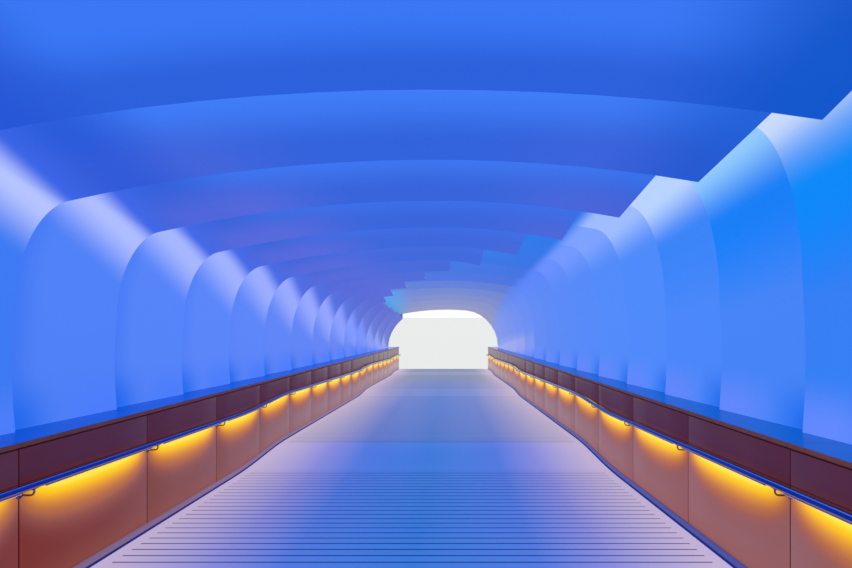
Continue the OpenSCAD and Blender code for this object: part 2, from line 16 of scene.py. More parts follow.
import bmesh
import bpy
import numpy as np
from numpy.typing import NDArray
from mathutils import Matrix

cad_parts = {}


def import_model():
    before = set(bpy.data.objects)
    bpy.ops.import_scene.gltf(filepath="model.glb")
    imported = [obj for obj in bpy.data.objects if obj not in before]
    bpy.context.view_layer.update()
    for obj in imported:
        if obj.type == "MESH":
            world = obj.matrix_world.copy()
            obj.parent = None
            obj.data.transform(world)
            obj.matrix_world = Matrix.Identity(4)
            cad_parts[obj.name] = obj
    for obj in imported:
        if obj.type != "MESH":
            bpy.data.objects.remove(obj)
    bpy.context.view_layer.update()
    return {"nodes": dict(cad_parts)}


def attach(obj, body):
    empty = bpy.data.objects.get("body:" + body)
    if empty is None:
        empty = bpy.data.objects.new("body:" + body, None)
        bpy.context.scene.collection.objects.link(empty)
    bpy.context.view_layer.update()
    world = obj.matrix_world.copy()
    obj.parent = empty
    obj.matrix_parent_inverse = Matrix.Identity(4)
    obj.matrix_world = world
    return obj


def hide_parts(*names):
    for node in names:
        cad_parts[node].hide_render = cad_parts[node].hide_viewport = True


LOG = logging.getLogger("walkway_bridge")
Array = NDArray[np.float64]
Reals = Array | float
Line = Callable[[Array], Array]
Sizes = tuple[float, ...]
# A disc's radius, height, number of sides and cut edge
Plate = tuple[float, float, int, float]
Socket = bpy.types.NodeSocket
Tree = bpy.types.NodeTree
Settings = dict[str | int, object]
Stops = tuple[tuple[float, str], ...]
Step = tuple[str, float, float] | tuple[str, float, float, float]


class Side(Enum):
    """The side of the walkway on which a piece stands, with the sign of its X."""

    LEFT = -1
    RIGHT = 1

    @property
    def word(self) -> str:
        """The side's name as the nodes have it."""
        return self.name.lower()


@dataclass(frozen=True)
class BridgeLines:
    """Main sizes of the bridge and the heights of its lines at a station."""

    bay: float = 1.524
    bay_count: int = 19
    first_ramp: float = 5.45
    ramp: float = 8.001
    landing: float = 1.524
    ramp_slope: float = 0.068
    cap_slope: float = 0.05
    curve: float = 0.45
    topping: float = 0.1
    far_floor: float = 3.33
    cap_height: float = 1.18
    cap_t: float = 0.034
    rail_height: float = 0.9
    wall_over_cap: float = 2.75
    deck_t: float = 0.13
    girder_h: float = 0.7
    girder_x: float = 3.0
    half_w: float = 2.8
    panel_back: float = 2.818
    shell_x: float = 3.17
    wall_in: float = 3.45
    wall_out: float = 3.57
    deck_x: float = 3.6
    eave_x: float = 3.75
    covered: float = 26.5104
    vault: float = 26.43
    seat: float = 0.0002
    roof_t: float = 0.15
    roof_rise: float = 0.43
    curve_rows: int = 7
    clear: float = 0.02

    @property
    def length(self) -> float:
        """Length of the whole bridge."""
        return self.bay * self.bay_count

    @property
    def landing_starts(self) -> Array:
        """Stations at which the landings start."""
        return np.arange(self.first_ramp, self.length - self.landing / 2, self.ramp + self.landing)

    @property
    def turns(self) -> Array:
        """Stations at which a landing starts, and then those at which one ends."""
        return np.concatenate([self.landing_starts, self.landing_starts + self.landing])

    @property
    def near_floor(self) -> float:
        """Height of the floor at the high end."""
        run = self.length - self.landing * len(self.landing_starts)
        return self.far_floor + self.ramp_slope * run

    def along(self, s: Reals) -> Reals:
        """Y of a station."""
        return s - self.length / 2

    def floor(self, s: Reals) -> Array:
        """Height of the floor: ramps and level landings, joined by short parabolas.

        Near a turn the height is changed by (curve - distance)**2 / (4 * curve) times the change
        of slope.

        Args:
            s: Stations.

        Returns:
            Heights, one for each station.
        """
        starts = self.landing_starts[:, None]
        flat = np.asarray(s, float).ravel()
        level = np.clip(flat - starts, 0, self.landing).sum(0)
        change = np.repeat([self.ramp_slope, -self.ramp_slope], len(starts))[:, None]
        near = np.maximum(self.curve - abs(flat - self.turns[:, None]), 0)
        lift = (change * near**2 / (4 * self.curve)).sum(0)
        return (self.near_floor - self.ramp_slope * (flat - level) + lift).reshape(np.shape(s))

    def deck(self, s: Reals) -> Reals:
        """Height of the structural deck's upper face."""
        return self.near_floor - self.topping - (self.near_floor - self.far_floor) / self.length * s

    def cap(self, s: Reals) -> Reals:
        """Height of the wall cap's upper face."""
        return self.near_floor + self.cap_height - self.cap_slope * s

    def wall(self, s: Reals) -> Reals:
        """Height of the outer walls."""
        return self.cap(s) + self.wall_over_cap

    def roof_top(self, x: Reals, s: Reals) -> Reals:
        """Height of the roof's upper face: a parabola over the walls, roof_rise high."""
        return self.wall(s) + self.roof_t + self.roof_rise * (1 - (x / self.eave_x) ** 2)

    def bays(self, gap: float, end: float) -> list[tuple[float, float]]:
        """Where the pieces of a row with one to a bay start and end.

        Args:
            gap: Distance of a piece from a joint between bays.
            end: Distance of the row from the ends of the bridge.

        Returns:
            First and last station of each piece.
        """
        joints = np.arange(1, self.bay_count) * self.bay
        return list(zip([end, *(joints + gap)], [*(joints - gap), self.length - end], strict=True))

    def stations(self, s0: float, s1: float, step: float) -> Array:
        """Stations at an even step, with those at which the floor line bends.

        Args:
            s0: First station.
            s1: Last station.
            step: Longest distance between two stations.

        Returns:
            The stations in order, to a hundredth of a millimetre.
        """
        even = np.linspace(s0, s1, max(2, math.ceil((s1 - s0) / step) + 1))
        curve = (self.turns[:, None] + np.linspace(-1, 1, self.curve_rows) * self.curve).ravel()
        inner = curve[(curve > s0 + self.clear) & (curve < s1 - self.clear)]
        return np.unique(np.round(np.concatenate([even, inner]), 5))


# Mesh tools


@dataclass
class Surface:
    """Points, faces, coordinates and material numbers of one closed form."""

    points: Array
    faces: list[Sequence[int]]
    uv: Array
    material: list[int]

    def moved(self, *offset: float) -> Surface:
        """The same form at another place."""
        return Surface(self.points + np.asarray(offset), self.faces, self.uv, self.material)

    def sided(self, side: Side) -> Surface:
        """The form, drawn for the right side, put on a side."""
        return Surface(self.points * (side.value, 1, 1), self.faces, self.uv, self.material)

    def along_x(self) -> Surface:
        """The form with its Z axis laid along X."""
        return Surface(self.points[:, [2, 0, 1]], self.faces, self.uv, self.material)

def grid(*parts: Reals) -> Array:
    """Points from their coordinates, each of which is spread over the whole grid."""
    return np.stack(np.broadcast_arrays(*parts), -1)


def loft(
    rings: Array,
    uv: Array | None = None,
    skins: int | Sequence[int] = 0,
    ends: int = 0,
    folded: bool = False,
) -> Surface:
    """Closed form through rings of points, with a face at each end.

    The faces between ring r and r + 1 join point i to point i + 1 of both, round the ring.

    Args:
        rings: Points, as rings x points x 3.
        uv: Coordinates of each point, as rings x points x 2.
        skins: Material of the faces, or one material for each column of them.
        ends: Material of the faces at the ends.
        folded: Whether a ring runs out along one face of a thin sheet and back along the other.

    Returns:
        The closed form.
    """
    count, size = rings.shape[:2]
    here = np.arange(size)
    after = (here + 1) % size
    row = np.arange(count - 1)[:, None] * size
    quads = np.stack([row + here, row + after, row + size + after, row + size + here], -1)
    faces: list[Sequence[int]] = quads.reshape(-1, 4).tolist()
    material = np.tile(np.broadcast_to(skins, size), count - 1).tolist()
    if folded:
        i = np.arange(size // 2 - 1)
        strips = np.stack([i, size - 1 - i, size - 2 - i, i + 1], -1)
        caps = np.concatenate([strips, strips + (count - 1) * size]).tolist()
    else:
        caps = [here.tolist(), (here + (count - 1) * size).tolist()]
    flat_uv = np.zeros((count * size, 2)) if uv is None else uv.reshape(-1, uv.shape[-1])
    return Surface(rings.reshape(-1, 3), faces + caps, flat_uv, material + [ends] * len(caps))


def tube(path: Array, radius: Reals, sides: int, across: Sequence[float], skin: int = 0) -> Surface:
    """Round bar that follows a path.

    Each ring is a circle at right angles to the path, which starts from the direction across,
    squared to the path.

    Args:
        path: Points of the middle line.
        radius: Radius of the bar, or one for each point.
        sides: Number of sides.
        across: Direction that no part of the path follows.
        skin: Material of the bar.

    Returns:
        The closed bar.
    """
    ahead = np.gradient(path, axis=0)
    ahead /= np.linalg.norm(ahead, axis=1, keepdims=True)
    aim = np.asarray(across, float)
    first = aim - (ahead @ aim)[:, None] * ahead
    first /= np.linalg.norm(first, axis=1, keepdims=True)
    second = np.cross(ahead, first)
    a = np.linspace(0, 2 * np.pi, sides, endpoint=False)[None, :, None]
    turn = np.cos(a) * first[:, None] + np.sin(a) * second[:, None]
    reach = np.broadcast_to(radius, len(path))[:, None, None]
    return loft(path[:, None] + reach * turn, skins=skin, ends=skin)


def block(low: Sequence[float], high: Sequence[float], edge: float, skin: int = 0) -> Surface:
    """Rectangular plate whose upper and lower edges are cut back.

    Args:
        low: Corner with the lowest X, Y and Z.
        high: Corner with the highest.
        edge: Height and depth of the cut.
        skin: Material of the plate.

    Returns:
        The closed plate.
    """
    lo, hi = np.asarray(low, float), np.asarray(high, float)
    square = np.array([[0, 0], [1, 0], [1, 1], [0, 1]], float)
    rings = []
    for z, inset in ((lo[2], edge), (lo[2] + edge, 0), (hi[2] - edge, 0), (hi[2], edge)):
        x, y = (lo[:2] + inset + square * (hi[:2] - lo[:2] - 2 * inset)).T
        rings.append(grid(x, y, z))
    return loft(np.array(rings), skins=skin, ends=skin)


def disc(radius: float, height: float, sides: int, edge: float, skin: int = 0) -> Surface:
    """Round or many-sided plate that stands on height 0, with its upper edge cut back.

    Args:
        radius: Radius of the plate, over its corners.
        height: Height of the plate.
        sides: Number of sides.
        edge: Height and depth of the cut.
        skin: Material of the plate.

    Returns:
        The closed plate.
    """
    a = np.linspace(0, 2 * np.pi, sides, endpoint=False)
    steps = ((radius, 0), (radius, height - edge), (radius - edge, height))
    return loft(np.array([grid(r * np.cos(a), r * np.sin(a), z) for r, z in steps]), skins=skin, ends=skin)


def put(name: str, data: bpy.types.ID) -> bpy.types.Object:
    """Makes an object at the origin and links it to the scene.

    Args:
        name: Name of the object.
        data: Its mesh, lamp or camera.

    Returns:
        The object.
    """
    made = bpy.data.objects.new(name, data)
    bpy.context.scene.collection.objects.link(made)
    return made


def fill_mesh(mesh: bpy.types.Mesh, forms: Iterable[Surface]) -> None:
    """Puts closed forms into a mesh, with their coordinates and materials.

    Args:
        mesh: An empty mesh.
        forms: The closed forms.
    """
    points, faces, uv, material, start = [], [], [], [], 0
    for form in forms:
        points.append(form.points)
        uv.append(form.uv)
        faces += [[i + start for i in face] for face in form.faces]
        material += form.material
        start += len(form.points)
    mesh.from_pydata(np.concatenate(points).tolist(), [], faces)
    mesh.polygons.foreach_set("material_index", material)
    corner = np.empty(len(mesh.loops), np.int32)
    mesh.loops.foreach_get("vertex_index", corner)
    values = np.concatenate(uv)[corner].astype(np.float32)
    for number, name in enumerate(("Surface", "Place")[: values.shape[1] // 2]):
        layer = mesh.uv_layers.new(name=name)
        layer.uv.foreach_set("vector", np.ascontiguousarray(values[:, 2 * number : 2 * number + 2]).ravel())


def make_piece(
    name: str,
    forms: Iterable[Surface],
    finishes: Sequence[Finish],
    slot: str,
    replaces: Sequence[str] = (),
    crease: float = 35.0,
) -> None:
    """Makes one piece of closed forms, turns its faces outwards and rides it on the bridge.

    Args:
        name: Name of the piece.
        forms: Its closed forms.
        finishes: Finishes, in the order of the forms' material numbers.
        slot: Slot of the record for the piece; it is not used.
        replaces: Nodes for which the piece stands.
        crease: Angle in degrees from which an edge is sharp.
    """
    mesh = bpy.data.meshes.new(name)
    fill_mesh(mesh, forms)
    shape = bmesh.new()
    shape.from_mesh(mesh)
    bmesh.ops.recalc_face_normals(shape, faces=shape.faces)
    shape.to_mesh(mesh)
    shape.free()
    mesh.shade_smooth()
    mesh.set_sharp_from_angle(angle=math.radians(crease))
    for finish in finishes:
        mesh.materials.append(finish.build())
    piece = put(name, mesh)
    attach(piece, "root")
    if replaces:
        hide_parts(*replaces)
    LOG.info("%s: %d faces", name, len(mesh.polygons))


# Finishes


def linear(code: str) -> tuple[float, float, float, float]:
    """Turns an sRGB hex colour to linear values.

    Args:
        code: The colour, such as "#7A4340".

    Returns:
        Red, green, blue and full cover.
    """
    parts = [int(code[i : i + 2], 16) / 255 for i in (1, 3, 5)]
    r, g, b = (c / 12.92 if c <= 0.04045 else ((c + 0.055) / 1.055) ** 2.4 for c in parts)
    return (r, g, b, 1.0)


def add_node(
    tree: Tree,
    kind: str,
    settings: Settings | None = None,
    links: dict[str | int, Socket] | None = None,
) -> bpy.types.NodeOutputs:
    """Adds a node, sets its values and links sockets into it.

    Args:
        tree: The node tree.
        kind: Name of the node's type, after "ShaderNode".
        settings: Values of its own properties, then of its inputs, by name or number. A colour may
            be sRGB hex, and stops are the places and hex colours of a colour ramp.
        links: Sockets to link, by the name or number of the input.

    Returns:
        The node's outputs.
    """
    node = tree.nodes.new("ShaderNode" + kind)
    for key, value in (settings or {}).items():
        if key == "stops":
            elements = node.color_ramp.elements
            while len(elements) < len(value):
                elements.new(0.5)
            for element, (place, code) in zip(elements, value, strict=True):
                element.position, element.color = place, linear(code)
        elif isinstance(key, str) and hasattr(node, key):
            setattr(node, key, value)
        else:
            node.inputs[key].default_value = linear(value) if isinstance(value, str) else value
    for key, socket in (links or {}).items():
        tree.links.new(socket, node.inputs[key])
    return node.outputs


@dataclass(frozen=True)
class Wash:
    """A colour laid over those before it.

    The colour is sRGB hex, or stops over a named place. A step is a named place, its value where
    the wash starts and where it is full, and its full strength if that isn't 1. The wash is as
    strong as the product of its steps, each eased at both ends.
    """

    colour: str | tuple[str, Stops]
    steps: tuple[Step, ...] = ()

    def lay(self, tree: Tree, places: dict[str, Socket], under: Socket) -> Socket:
        """Lays the wash over a colour.

        Args:
            tree: The node tree.
            places: The named places, as sockets.
            under: The colour under the wash.

        Returns:
            The new colour.
        """
        settings: Settings = {"data_type": "RGBA", 0: 1.0}
        links: dict[str | int, Socket] = {6: under}
        for place, low, high, *top in self.steps:
            ends = {"From Min": low, "From Max": high, "To Max": (*top, 1.0)[0]}
            eased = {"interpolation_type": "SMOOTHSTEP"} | ends
            step = add_node(tree, "MapRange", eased, {"Value": places[place]})["Result"]
            if 0 in links:
                step = add_node(tree, "Math", {"operation": "MULTIPLY"}, {0: links[0], 1: step})[0]
            links[0] = step
        if isinstance(self.colour, str):
            settings[7] = self.colour
        else:
            place, stops = self.colour
            links[7] = add_node(tree, "ValToRGB", {"stops": stops}, {"Fac": places[place]})["Color"]
        return add_node(tree, "Mix", settings, links)[2]


@dataclass(frozen=True)
class Finish:
    """A surface with a slow drift of colour and a fine grain, and with washes over its colour.

    The drift runs from colour to tint over lumps tint_mm across, and the grain, grain_mm across
    and grain_depth_mm deep, also varies the roughness by a tenth either way. The share body of
    the colour is the surface's own, and glow times the colour is light that it gives: a lamp's
    own light in the opal diffusers, and painted light in every other surface that glows.
    """

    name: str
    colour: str
    tint: str
    rough: float
    metal: float = 0.0
    tint_mm: float = 600.0
    grain_mm: float = 6.0
    grain_depth_mm: float = 0.1
    stretch: tuple[float, float, float] = (1.0, 1.0, 1.0)
    glow: float = 0.0
    coat: float = 0.0
    shine: float = 0.5
    body: float = 1.0
    washes: tuple[Wash, ...] = ()

    @cache
    def build(self) -> bpy.types.Material:
        """Makes the material, once for each finish.

        Returns:
            The material, ready to assign.
        """
        material = bpy.data.materials.new(self.name)
        material.use_nodes = True
        tree = material.node_tree
        shader = tree.nodes["Principled BSDF"].inputs
        shader["Metallic"].default_value = self.metal
        shader["Coat Weight"].default_value = self.coat
        shader["Specular IOR Level"].default_value = self.shine
        place = add_node(tree, "TexCoord")["Object"]
        colour = self.colours(tree, place)
        settings = {"data_type": "RGBA", "blend_type": "MULTIPLY", 0: 1.0, 7: (self.body,) * 3 + (1,)}
        lit = add_node(tree, "Mix", settings, {6: colour})[2] if self.body < 1 else colour
        tree.links.new(lit, shader["Base Color"])
        grain = self.noise(tree, place, self.grain_mm)
        settings = {"To Min": self.rough * 0.9, "To Max": min(self.rough * 1.1, 1.0)}
        tree.links.new(add_node(tree, "MapRange", settings, {"Value": grain})["Result"], shader["Roughness"])
        settings = {"Strength": 0.6, "Distance": self.grain_depth_mm / 1000}
        tree.links.new(add_node(tree, "Bump", settings, {"Height": grain})["Normal"], shader["Normal"])
        if self.glow:
            tree.links.new(colour, shader["Emission Color"])
            shader["Emission Strength"].default_value = self.glow
            # The glow is too weak and wide to be worth aiming rays at, and it still lights what is near
            material.cycles.emission_sampling = "NONE"
        return material

    def noise(self, tree: Tree, place: Socket, size_mm: float) -> Socket:
        """Noise over the stretched coordinates.

        Args:
            tree: The node tree.
            place: The coordinates.
            size_mm: Width of its lumps.

        Returns:
            The noise, from 0 to 1.
        """
        scaled = add_node(tree, "Mapping", {"Scale": self.stretch}, {"Vector": place})[0]
        settings = {"Scale": 1000 / size_mm, "Detail": 4.0, "Roughness": 0.55}
        return add_node(tree, "TexNoise", settings, {"Vector": scaled})["Fac"]

    def colours(self, tree: Tree, place: Socket) -> Socket:
        """Lays the washes over the surface's slow drift of colour.

        Args:
            tree: The node tree.
            place: The coordinates.

        Returns:
            The surface's colour.
        """
        drift = self.noise(tree, place, self.tint_mm)
        stops = ((0.35, self.colour), (0.65, self.tint))
        colour = add_node(tree, "ValToRGB", {"stops": stops}, {"Fac": drift})["Color"]
        places = self.places(tree, place) if self.washes else {}
        for wash in self.washes:
            colour = wash.lay(tree, places, colour)
        return colour

    def places(self, tree: Tree, place: Socket) -> dict[str, Socket]:
        """The places by which the washes lie: here across, which is X, and along, which is Y."""
        axes = add_node(tree, "SeparateXYZ", links={"Vector": place})
        return {"across": axes["X"], "along": axes["Y"]}

    def layer(self, tree: Tree, name: str) -> list[Socket]:
        """Both coordinates of a UV layer."""
        uv = add_node(tree, "UVMap", {"uv_map": name})["UV"]
        return list(add_node(tree, "SeparateXYZ", links={"Vector": uv}))[:2]


@dataclass(frozen=True)
class ShellPaintedLight(Finish):
    """Matt emulsion on moulded plaster, with the painted light of the strips behind each edge.

    The eye sees blue walls, a pale band where a shell turns over from wall to ceiling, and light
    that fades from one edge to the next; these and the glow are all painted light. The places are
    share, from a shell's near edge to its far edge; drop, in metres below the turn from -1 down,
    -1 to 0 round the turn, and in metres of ceiling beyond; height over the cap; run, the shell's
    place in the row from 0 to 1; and turn, which is drop plus slide times run and drift times share.
    """

    slide: float = 0.0
    drift: float = 0.0

    def places(self, tree: Tree, place: Socket) -> dict[str, Socket]:
        """Reads the layers Surface and Place.

        Args:
            tree: The node tree.
            place: The coordinates, which aren't used here.

        Returns:
            The named places.
        """
        (share, drop), (height, run) = self.layer(tree, "Surface"), self.layer(tree, "Place")
        turn = drop
        for rate, over in ((self.slide, run), (self.drift, share)):
            turn = add_node(tree, "Math", {"operation": "MULTIPLY_ADD", 1: rate}, {0: over, 2: turn})[0]
        return {"share": share, "drop": drop, "height": height, "run": run, "turn": turn}


@dataclass(frozen=True)
class FloorFinish(Finish):
    """A finish of the floor, which takes on painted light and reflection of the walls at its sides.

    The places are side, from 0 on the axis to 1 at the walls; along, which is Y; and chip, the
    distance from the middle of a terrazzo chip.
    """

    half: float = 2.8
    chip_mm: float = 9.0

    def places(self, tree: Tree, place: Socket) -> dict[str, Socket]:
        """Measures from the walkway's axis, along it and from the chips.

        Args:
            tree: The node tree.
            place: The coordinates.

        Returns:
            The named places.
        """
        chips = add_node(tree, "TexVoronoi", {"Scale": 1000 / self.chip_mm}, {"Vector": place})
        places = super().places(tree, place) | {"chip": chips["Distance"]}
        side = add_node(tree, "Math", {"operation": "DIVIDE", 1: self.half}, {0: places["across"]})[0]
        return places | {"side": add_node(tree, "Math", {"operation": "ABSOLUTE"}, {0: side})[0]}


@dataclass(frozen=True)
class LitCopper(Finish):
    """Lacquered copper sheet, with the painted light of the amber strips under the handrail.

    The eye sees satin copper with a glow that is strongest just under the strip. Layer Surface
    holds a, the distance from the middle of the bay as a share of the strip's half length, and the
    height over the floor. The place light is that of a line of light: the angle that the line
    takes up, atan((1 - a) / d) + atan((1 + a) / d), over d, its distance as a share of the half
    length, and it is 1 where the line would be endless and straight in front.
    """

    strip: float = 0.866
    gap: float = 0.11
    half: float = 0.652

    def places(self, tree: Tree, place: Socket) -> dict[str, Socket]:
        """Works out the light, and reads the height over the floor.

        Args:
            tree: The node tree.
            place: The coordinates.

        Returns:
            The named places.
        """
        across, height = self.layer(tree, "Surface")
        down = add_node(tree, "Math", {"operation": "SUBTRACT", 0: self.strip}, {1: height})[0]
        reach = add_node(tree, "CombineXYZ", {"Y": self.gap}, {"X": down})[0]
        length = add_node(tree, "VectorMath", {"operation": "LENGTH"}, {0: reach})["Value"]
        far = add_node(tree, "Math", {"operation": "DIVIDE", 1: self.half}, {0: length})[0]
        angles = {}
        for number, operation in enumerate(("SUBTRACT", "ADD")):
            beside = add_node(tree, "Math", {"operation": operation, 0: 1.0}, {1: across})[0]
            angles[number] = add_node(tree, "Math", {"operation": "ARCTAN2"}, {0: beside, 1: far})[0]
        angle = add_node(tree, "Math", {"operation": "ADD"}, angles)[0]
        light = add_node(tree, "Math", {"operation": "DIVIDE"}, {0: angle, 1: far})[0]
        full = {"operation": "DIVIDE", 1: math.pi * self.half / self.gap}
        light = add_node(tree, "Math", full, {0: light})[0]
        return super().places(tree, place) | {"light": light, "height": height}


@dataclass(frozen=True)
class RoundSteel(Finish):
    """A polished round bar. The place up is the height of its normal, from -1 below to 1 on top."""

    def places(self, tree: Tree, place: Socket) -> dict[str, Socket]:
        """Reads the normal."""
        normal = add_node(tree, "TexCoord")["Normal"]
        return {"up": add_node(tree, "SeparateXYZ", links={"Vector": normal})["Z"]}


# Emulsion: matt, rolled, with a nap of a few millimetres. The blues, pale bands and glow of the
# shells are painted light of the strips behind their edges. LOW is the foot of the wall, and
# CEILING the part beyond the turn.
LOW = ("height", 0.5, 0.05)
LEFT_CEILING, RIGHT_CEILING = ("turn", 0.38, 0.95), ("turn", 0.5, 0.8)
SHELL_LEFT = ShellPaintedLight(
    "matt emulsion, left shells", "#4C80F6", "#4A7CF2", 0.62, grain_mm=5, glow=0.75, body=0.3, shine=0.2,
    slide=1.1, drift=0.38,
    washes=(
        # Wall, painted lighter at the foot by its own edge, and deeper, as painted shade,
        # behind the edge in front
        Wash(("run", ((0.07, "#4080F2"), (0.14, "#5588F6"), (0.3, "#608EF8"), (0.5, "#678CF5"),
                      (0.8, "#738FF3"), (1, "#92A0EE")))),
        Wash("#5285FB", (LOW, ("share", 0.3, 0.8))),
        Wash("#0C6DED", (LOW, ("share", 0.55, 0.1))),
        Wash("#2E73F0", (("share", 0.4, 0.05, 0.8), ("run", 0.5, 0.1))),
        # Painted pale band of cove light round the turn, which passes into the ceiling
        # through a brighter blue
        Wash(("run", ((0, "#8EA4FF"), (0.07, "#C0CDFF"), (0.3, "#A8B9FE"), (0.57, "#9CADFD"),
                      (0.78, "#7C98FE"), (1, "#A0AEF0"))), (("turn", -0.22, 0.23),)),
        Wash(("run", ((0, "#3A6AE8"), (0.3, "#4A70E8"), (0.6, "#5E78E0"), (1, "#7080D8"))),
             (("turn", 0.26, 0.52),)),
        # Ceiling, with painted fresh light beyond the edge in front and a painted violet tinge
        # by its own edge
        Wash(("run", ((0, "#2A61DA"), (0.14, "#3565D6"), (0.36, "#3E6AD6"), (0.57, "#566FD0"),
                      (0.8, "#6573C9"))), (LEFT_CEILING,)),
        Wash(("run", ((0, "#3879F4"), (0.07, "#4080F5"), (0.21, "#3C73E6"), (0.4, "#466FDB"),
                      (0.6, "#5771D0"))), (LEFT_CEILING, ("share", 0.8, 0.3), ("drop", 0.35, 1.3))),
        Wash("#5C6EDA", (LEFT_CEILING, ("share", 0.35, 0.85), ("run", 0, 0.14), ("drop", 2.2, 0.8, 0.9))),
        Wash("#5C6EDA", (LEFT_CEILING, ("share", 0.35, 0.85), ("run", 0, 0.14), ("drop", 3.2, 5.0, 0.6))),
        Wash("#2458D6", (LEFT_CEILING, ("run", 0.2, 0), ("drop", 1.3, 0.6))),
        Wash("#0C58CC", (LEFT_CEILING, ("run", 0.2, 0), ("drop", 4.1, 5.1))),
    ),
)
SHELL_RIGHT = ShellPaintedLight(
    "matt emulsion, right shells", "#4682F6", "#4480F2", 0.62, grain_mm=5, glow=0.75, body=0.3, shine=0.2,
    slide=1.2,
    washes=(
        Wash(("run", ((0.05, "#2F82F2"), (0.14, "#498BF6"), (0.3, "#5492F9"),
                      (0.6, "#5F8FF4"), (1, "#8298EC")))),
        Wash("#688FFC", (LOW, ("share", 0.3, 0.8))),
        Wash("#1A70EE", (LOW, ("share", 0.55, 0.1))),
        # Painted cove light: an azure ring below the turn, and a nearly white turn
        Wash("#0084F7", (("run", 0.3, 0.1), ("drop", -1.2, -0.65))),
        Wash(("run", ((0.07, "#DCEAFF"), (0.14, "#9CD6FF"), (0.21, "#C6E0FF"), (0.36, "#84A9FF"),
                      (0.57, "#608CFC"), (0.8, "#628CF7"), (1, "#7896E6"))), (("drop", -0.6, -0.2),)),
        # Painted azure light that eats into the turn on the first two shells
        Wash("#0A98FA", (("run", 0.15, 0.0), ("drop", -1.1, -0.6), ("drop", -0.1, -0.5))),
        # Painted pale light in an arch round the far end
        Wash("#A2AEEE", (("drop", -2.0, -1.5), ("drop", -0.85, -1.15), ("run", 0.62, 0.85))),
        # Ceiling, lit azure where it is fresh and at the far shells' free edges
        Wash(("run", ((0.36, "#2B80E9"), (0.5, "#3A7AE4"), (0.64, "#4D79DF"),
                      (0.79, "#768DD0"), (1, "#9298C2"))), (RIGHT_CEILING,)),
        Wash(("run", ((0.3, "#46AAFC"), (0.43, "#2588EE"), (0.64, "#4D79DF"),
                      (0.79, "#768DD0"), (1, "#9298C2"))),
             (RIGHT_CEILING, ("share", 0.8, 0.3), ("drop", 0.35, 1.3))),
        Wash("#5CA8EC", (RIGHT_CEILING, ("drop", 3.1, 4.3), ("run", 0.6, 0.8))),
    ),
)
# Bare side of the plaster, chalky and uneven, seen only from outside the vault
SHELL_BACK = Finish("cast plaster back", "#C9CDD8", "#B8BDCC", 0.85, grain_mm=20, grain_depth_mm=0.6)
# Terrazzo: ground flat and sealed, so it mirrors softly at a low angle. Its blue middle, mauve
# sides, the greyer tones further along and its glow are painted reflection and light of the vault
# and walls. Real chips are 3 to 9 mm, and all are drawn at the larger size so that they show.
FLOOR_WASHES = (
    Wash(("side", ((0, "#1E75D0"), (0.4, "#4676D6"), (0.62, "#888CD8"), (0.95, "#D0BEDA"))),
         (("side", 9, 0, 0.92),)),
    Wash(("side", ((0, "#4E77C4"), (0.42, "#6A80C4"), (0.62, "#9898C6"), (0.95, "#CABAD0"))),
         (("along", -7.8, -6.8),)),
    Wash("#7A809E", (("along", -2.0, 11.0, 0.8), ("side", 1.0, 0.6))),
    Wash("#8F93C8", (("chip", 0.3, 0.12, 0.25),)),
)
FLOOR = FloorFinish("sealed terrazzo", "#9A94CC", "#8C86C4", 0.42, tint_mm=900, grain_mm=40,
                    grain_depth_mm=0.05, shine=0.04, glow=0.78, body=0.25, washes=FLOOR_WASHES)
LANDING = replace(FLOOR, name="sealed terrazzo, landing", colour="#A29CD0", tint="#948EC8", rough=0.36,
                  shine=0.05, glow=0.8)
# Epoxy filler is smooth and slightly glossy. It is drawn dark blue, mauve near the walls and
# paler further along, tones which with its glow are painted light of the vault and walls. Real
# joints are 6 to 10 mm wide, and these are drawn 26 mm wide so that they show as the dark lines
# they are.
INLAY = FloorFinish("epoxy groove filler", "#00287C", "#002474", 0.35, tint_mm=300, glow=0.7, body=0.25,
                    shine=0.05, washes=(Wash("#4C3C68", (("side", 0.45, 0.85),)),
                                        Wash("#5A66A8", (("along", -8, -5, 0.8),)),
                                        Wash("#8C8CB8", (("along", -5, 8, 0.8),))))
# Sealant is rubbery and draws a dark blue line along each wall and in the cap's groove, darkened
# as painted shade of the gaps there and with a faint painted glow. Screed is dusty and shows at
# cut ends.
SEAL_AND_SHADE = Finish("floor edge sealant", "#1C3496", "#1A308C", 0.5, tint_mm=200, glow=0.6, body=0.4)
SCREED = Finish("cement screed", "#8E8C88", "#7F7D7A", 0.9, tint_mm=300, grain_mm=8, grain_depth_mm=0.5)
# Copper sheet, brushed and lacquered: satin, with a slow patchiness from rolling and a painted glow
COPPER = LitCopper(
    "lacquered copper", "#7A4340", "#7E4842", 0.42, metal=0.1, tint_mm=900, grain_mm=3, glow=0.95, body=0.2,
    shine=0.25,
    washes=(
        # Painted light: paler on the right, redder at the near left, greyer and paler further along
        Wash("#8C5858", (("across", -1, 1),)),
        Wash("#763026", (("along", -10.8, -12.9), ("across", 1, -1))),
        Wash("#8E6E74", (("along", -11.5, -5, 0.8),)),
        Wash("#A08A8E", (("along", -5, 10, 0.85),)),
        # Painted pool of amber light under each strip
        Wash(("light", ((0.1, "#8A5450"), (0.18, "#9A5846"), (0.25, "#B2683A"), (0.32, "#CC8030"),
                        (0.4, "#E49A26"), (0.5, "#F6B810"), (0.62, "#FFD010"), (0.72, "#FFE444"))),
             (("light", 0.09, 0.23),)),
        # Painted warm light towards the foot, and painted shade over the strip at the panel's top
        Wash("#8A4634", (("height", 0.3, 0.0, 0.5),)),
        Wash("#501E28", (("height", 0.858, 0.872),)),
    ),
)
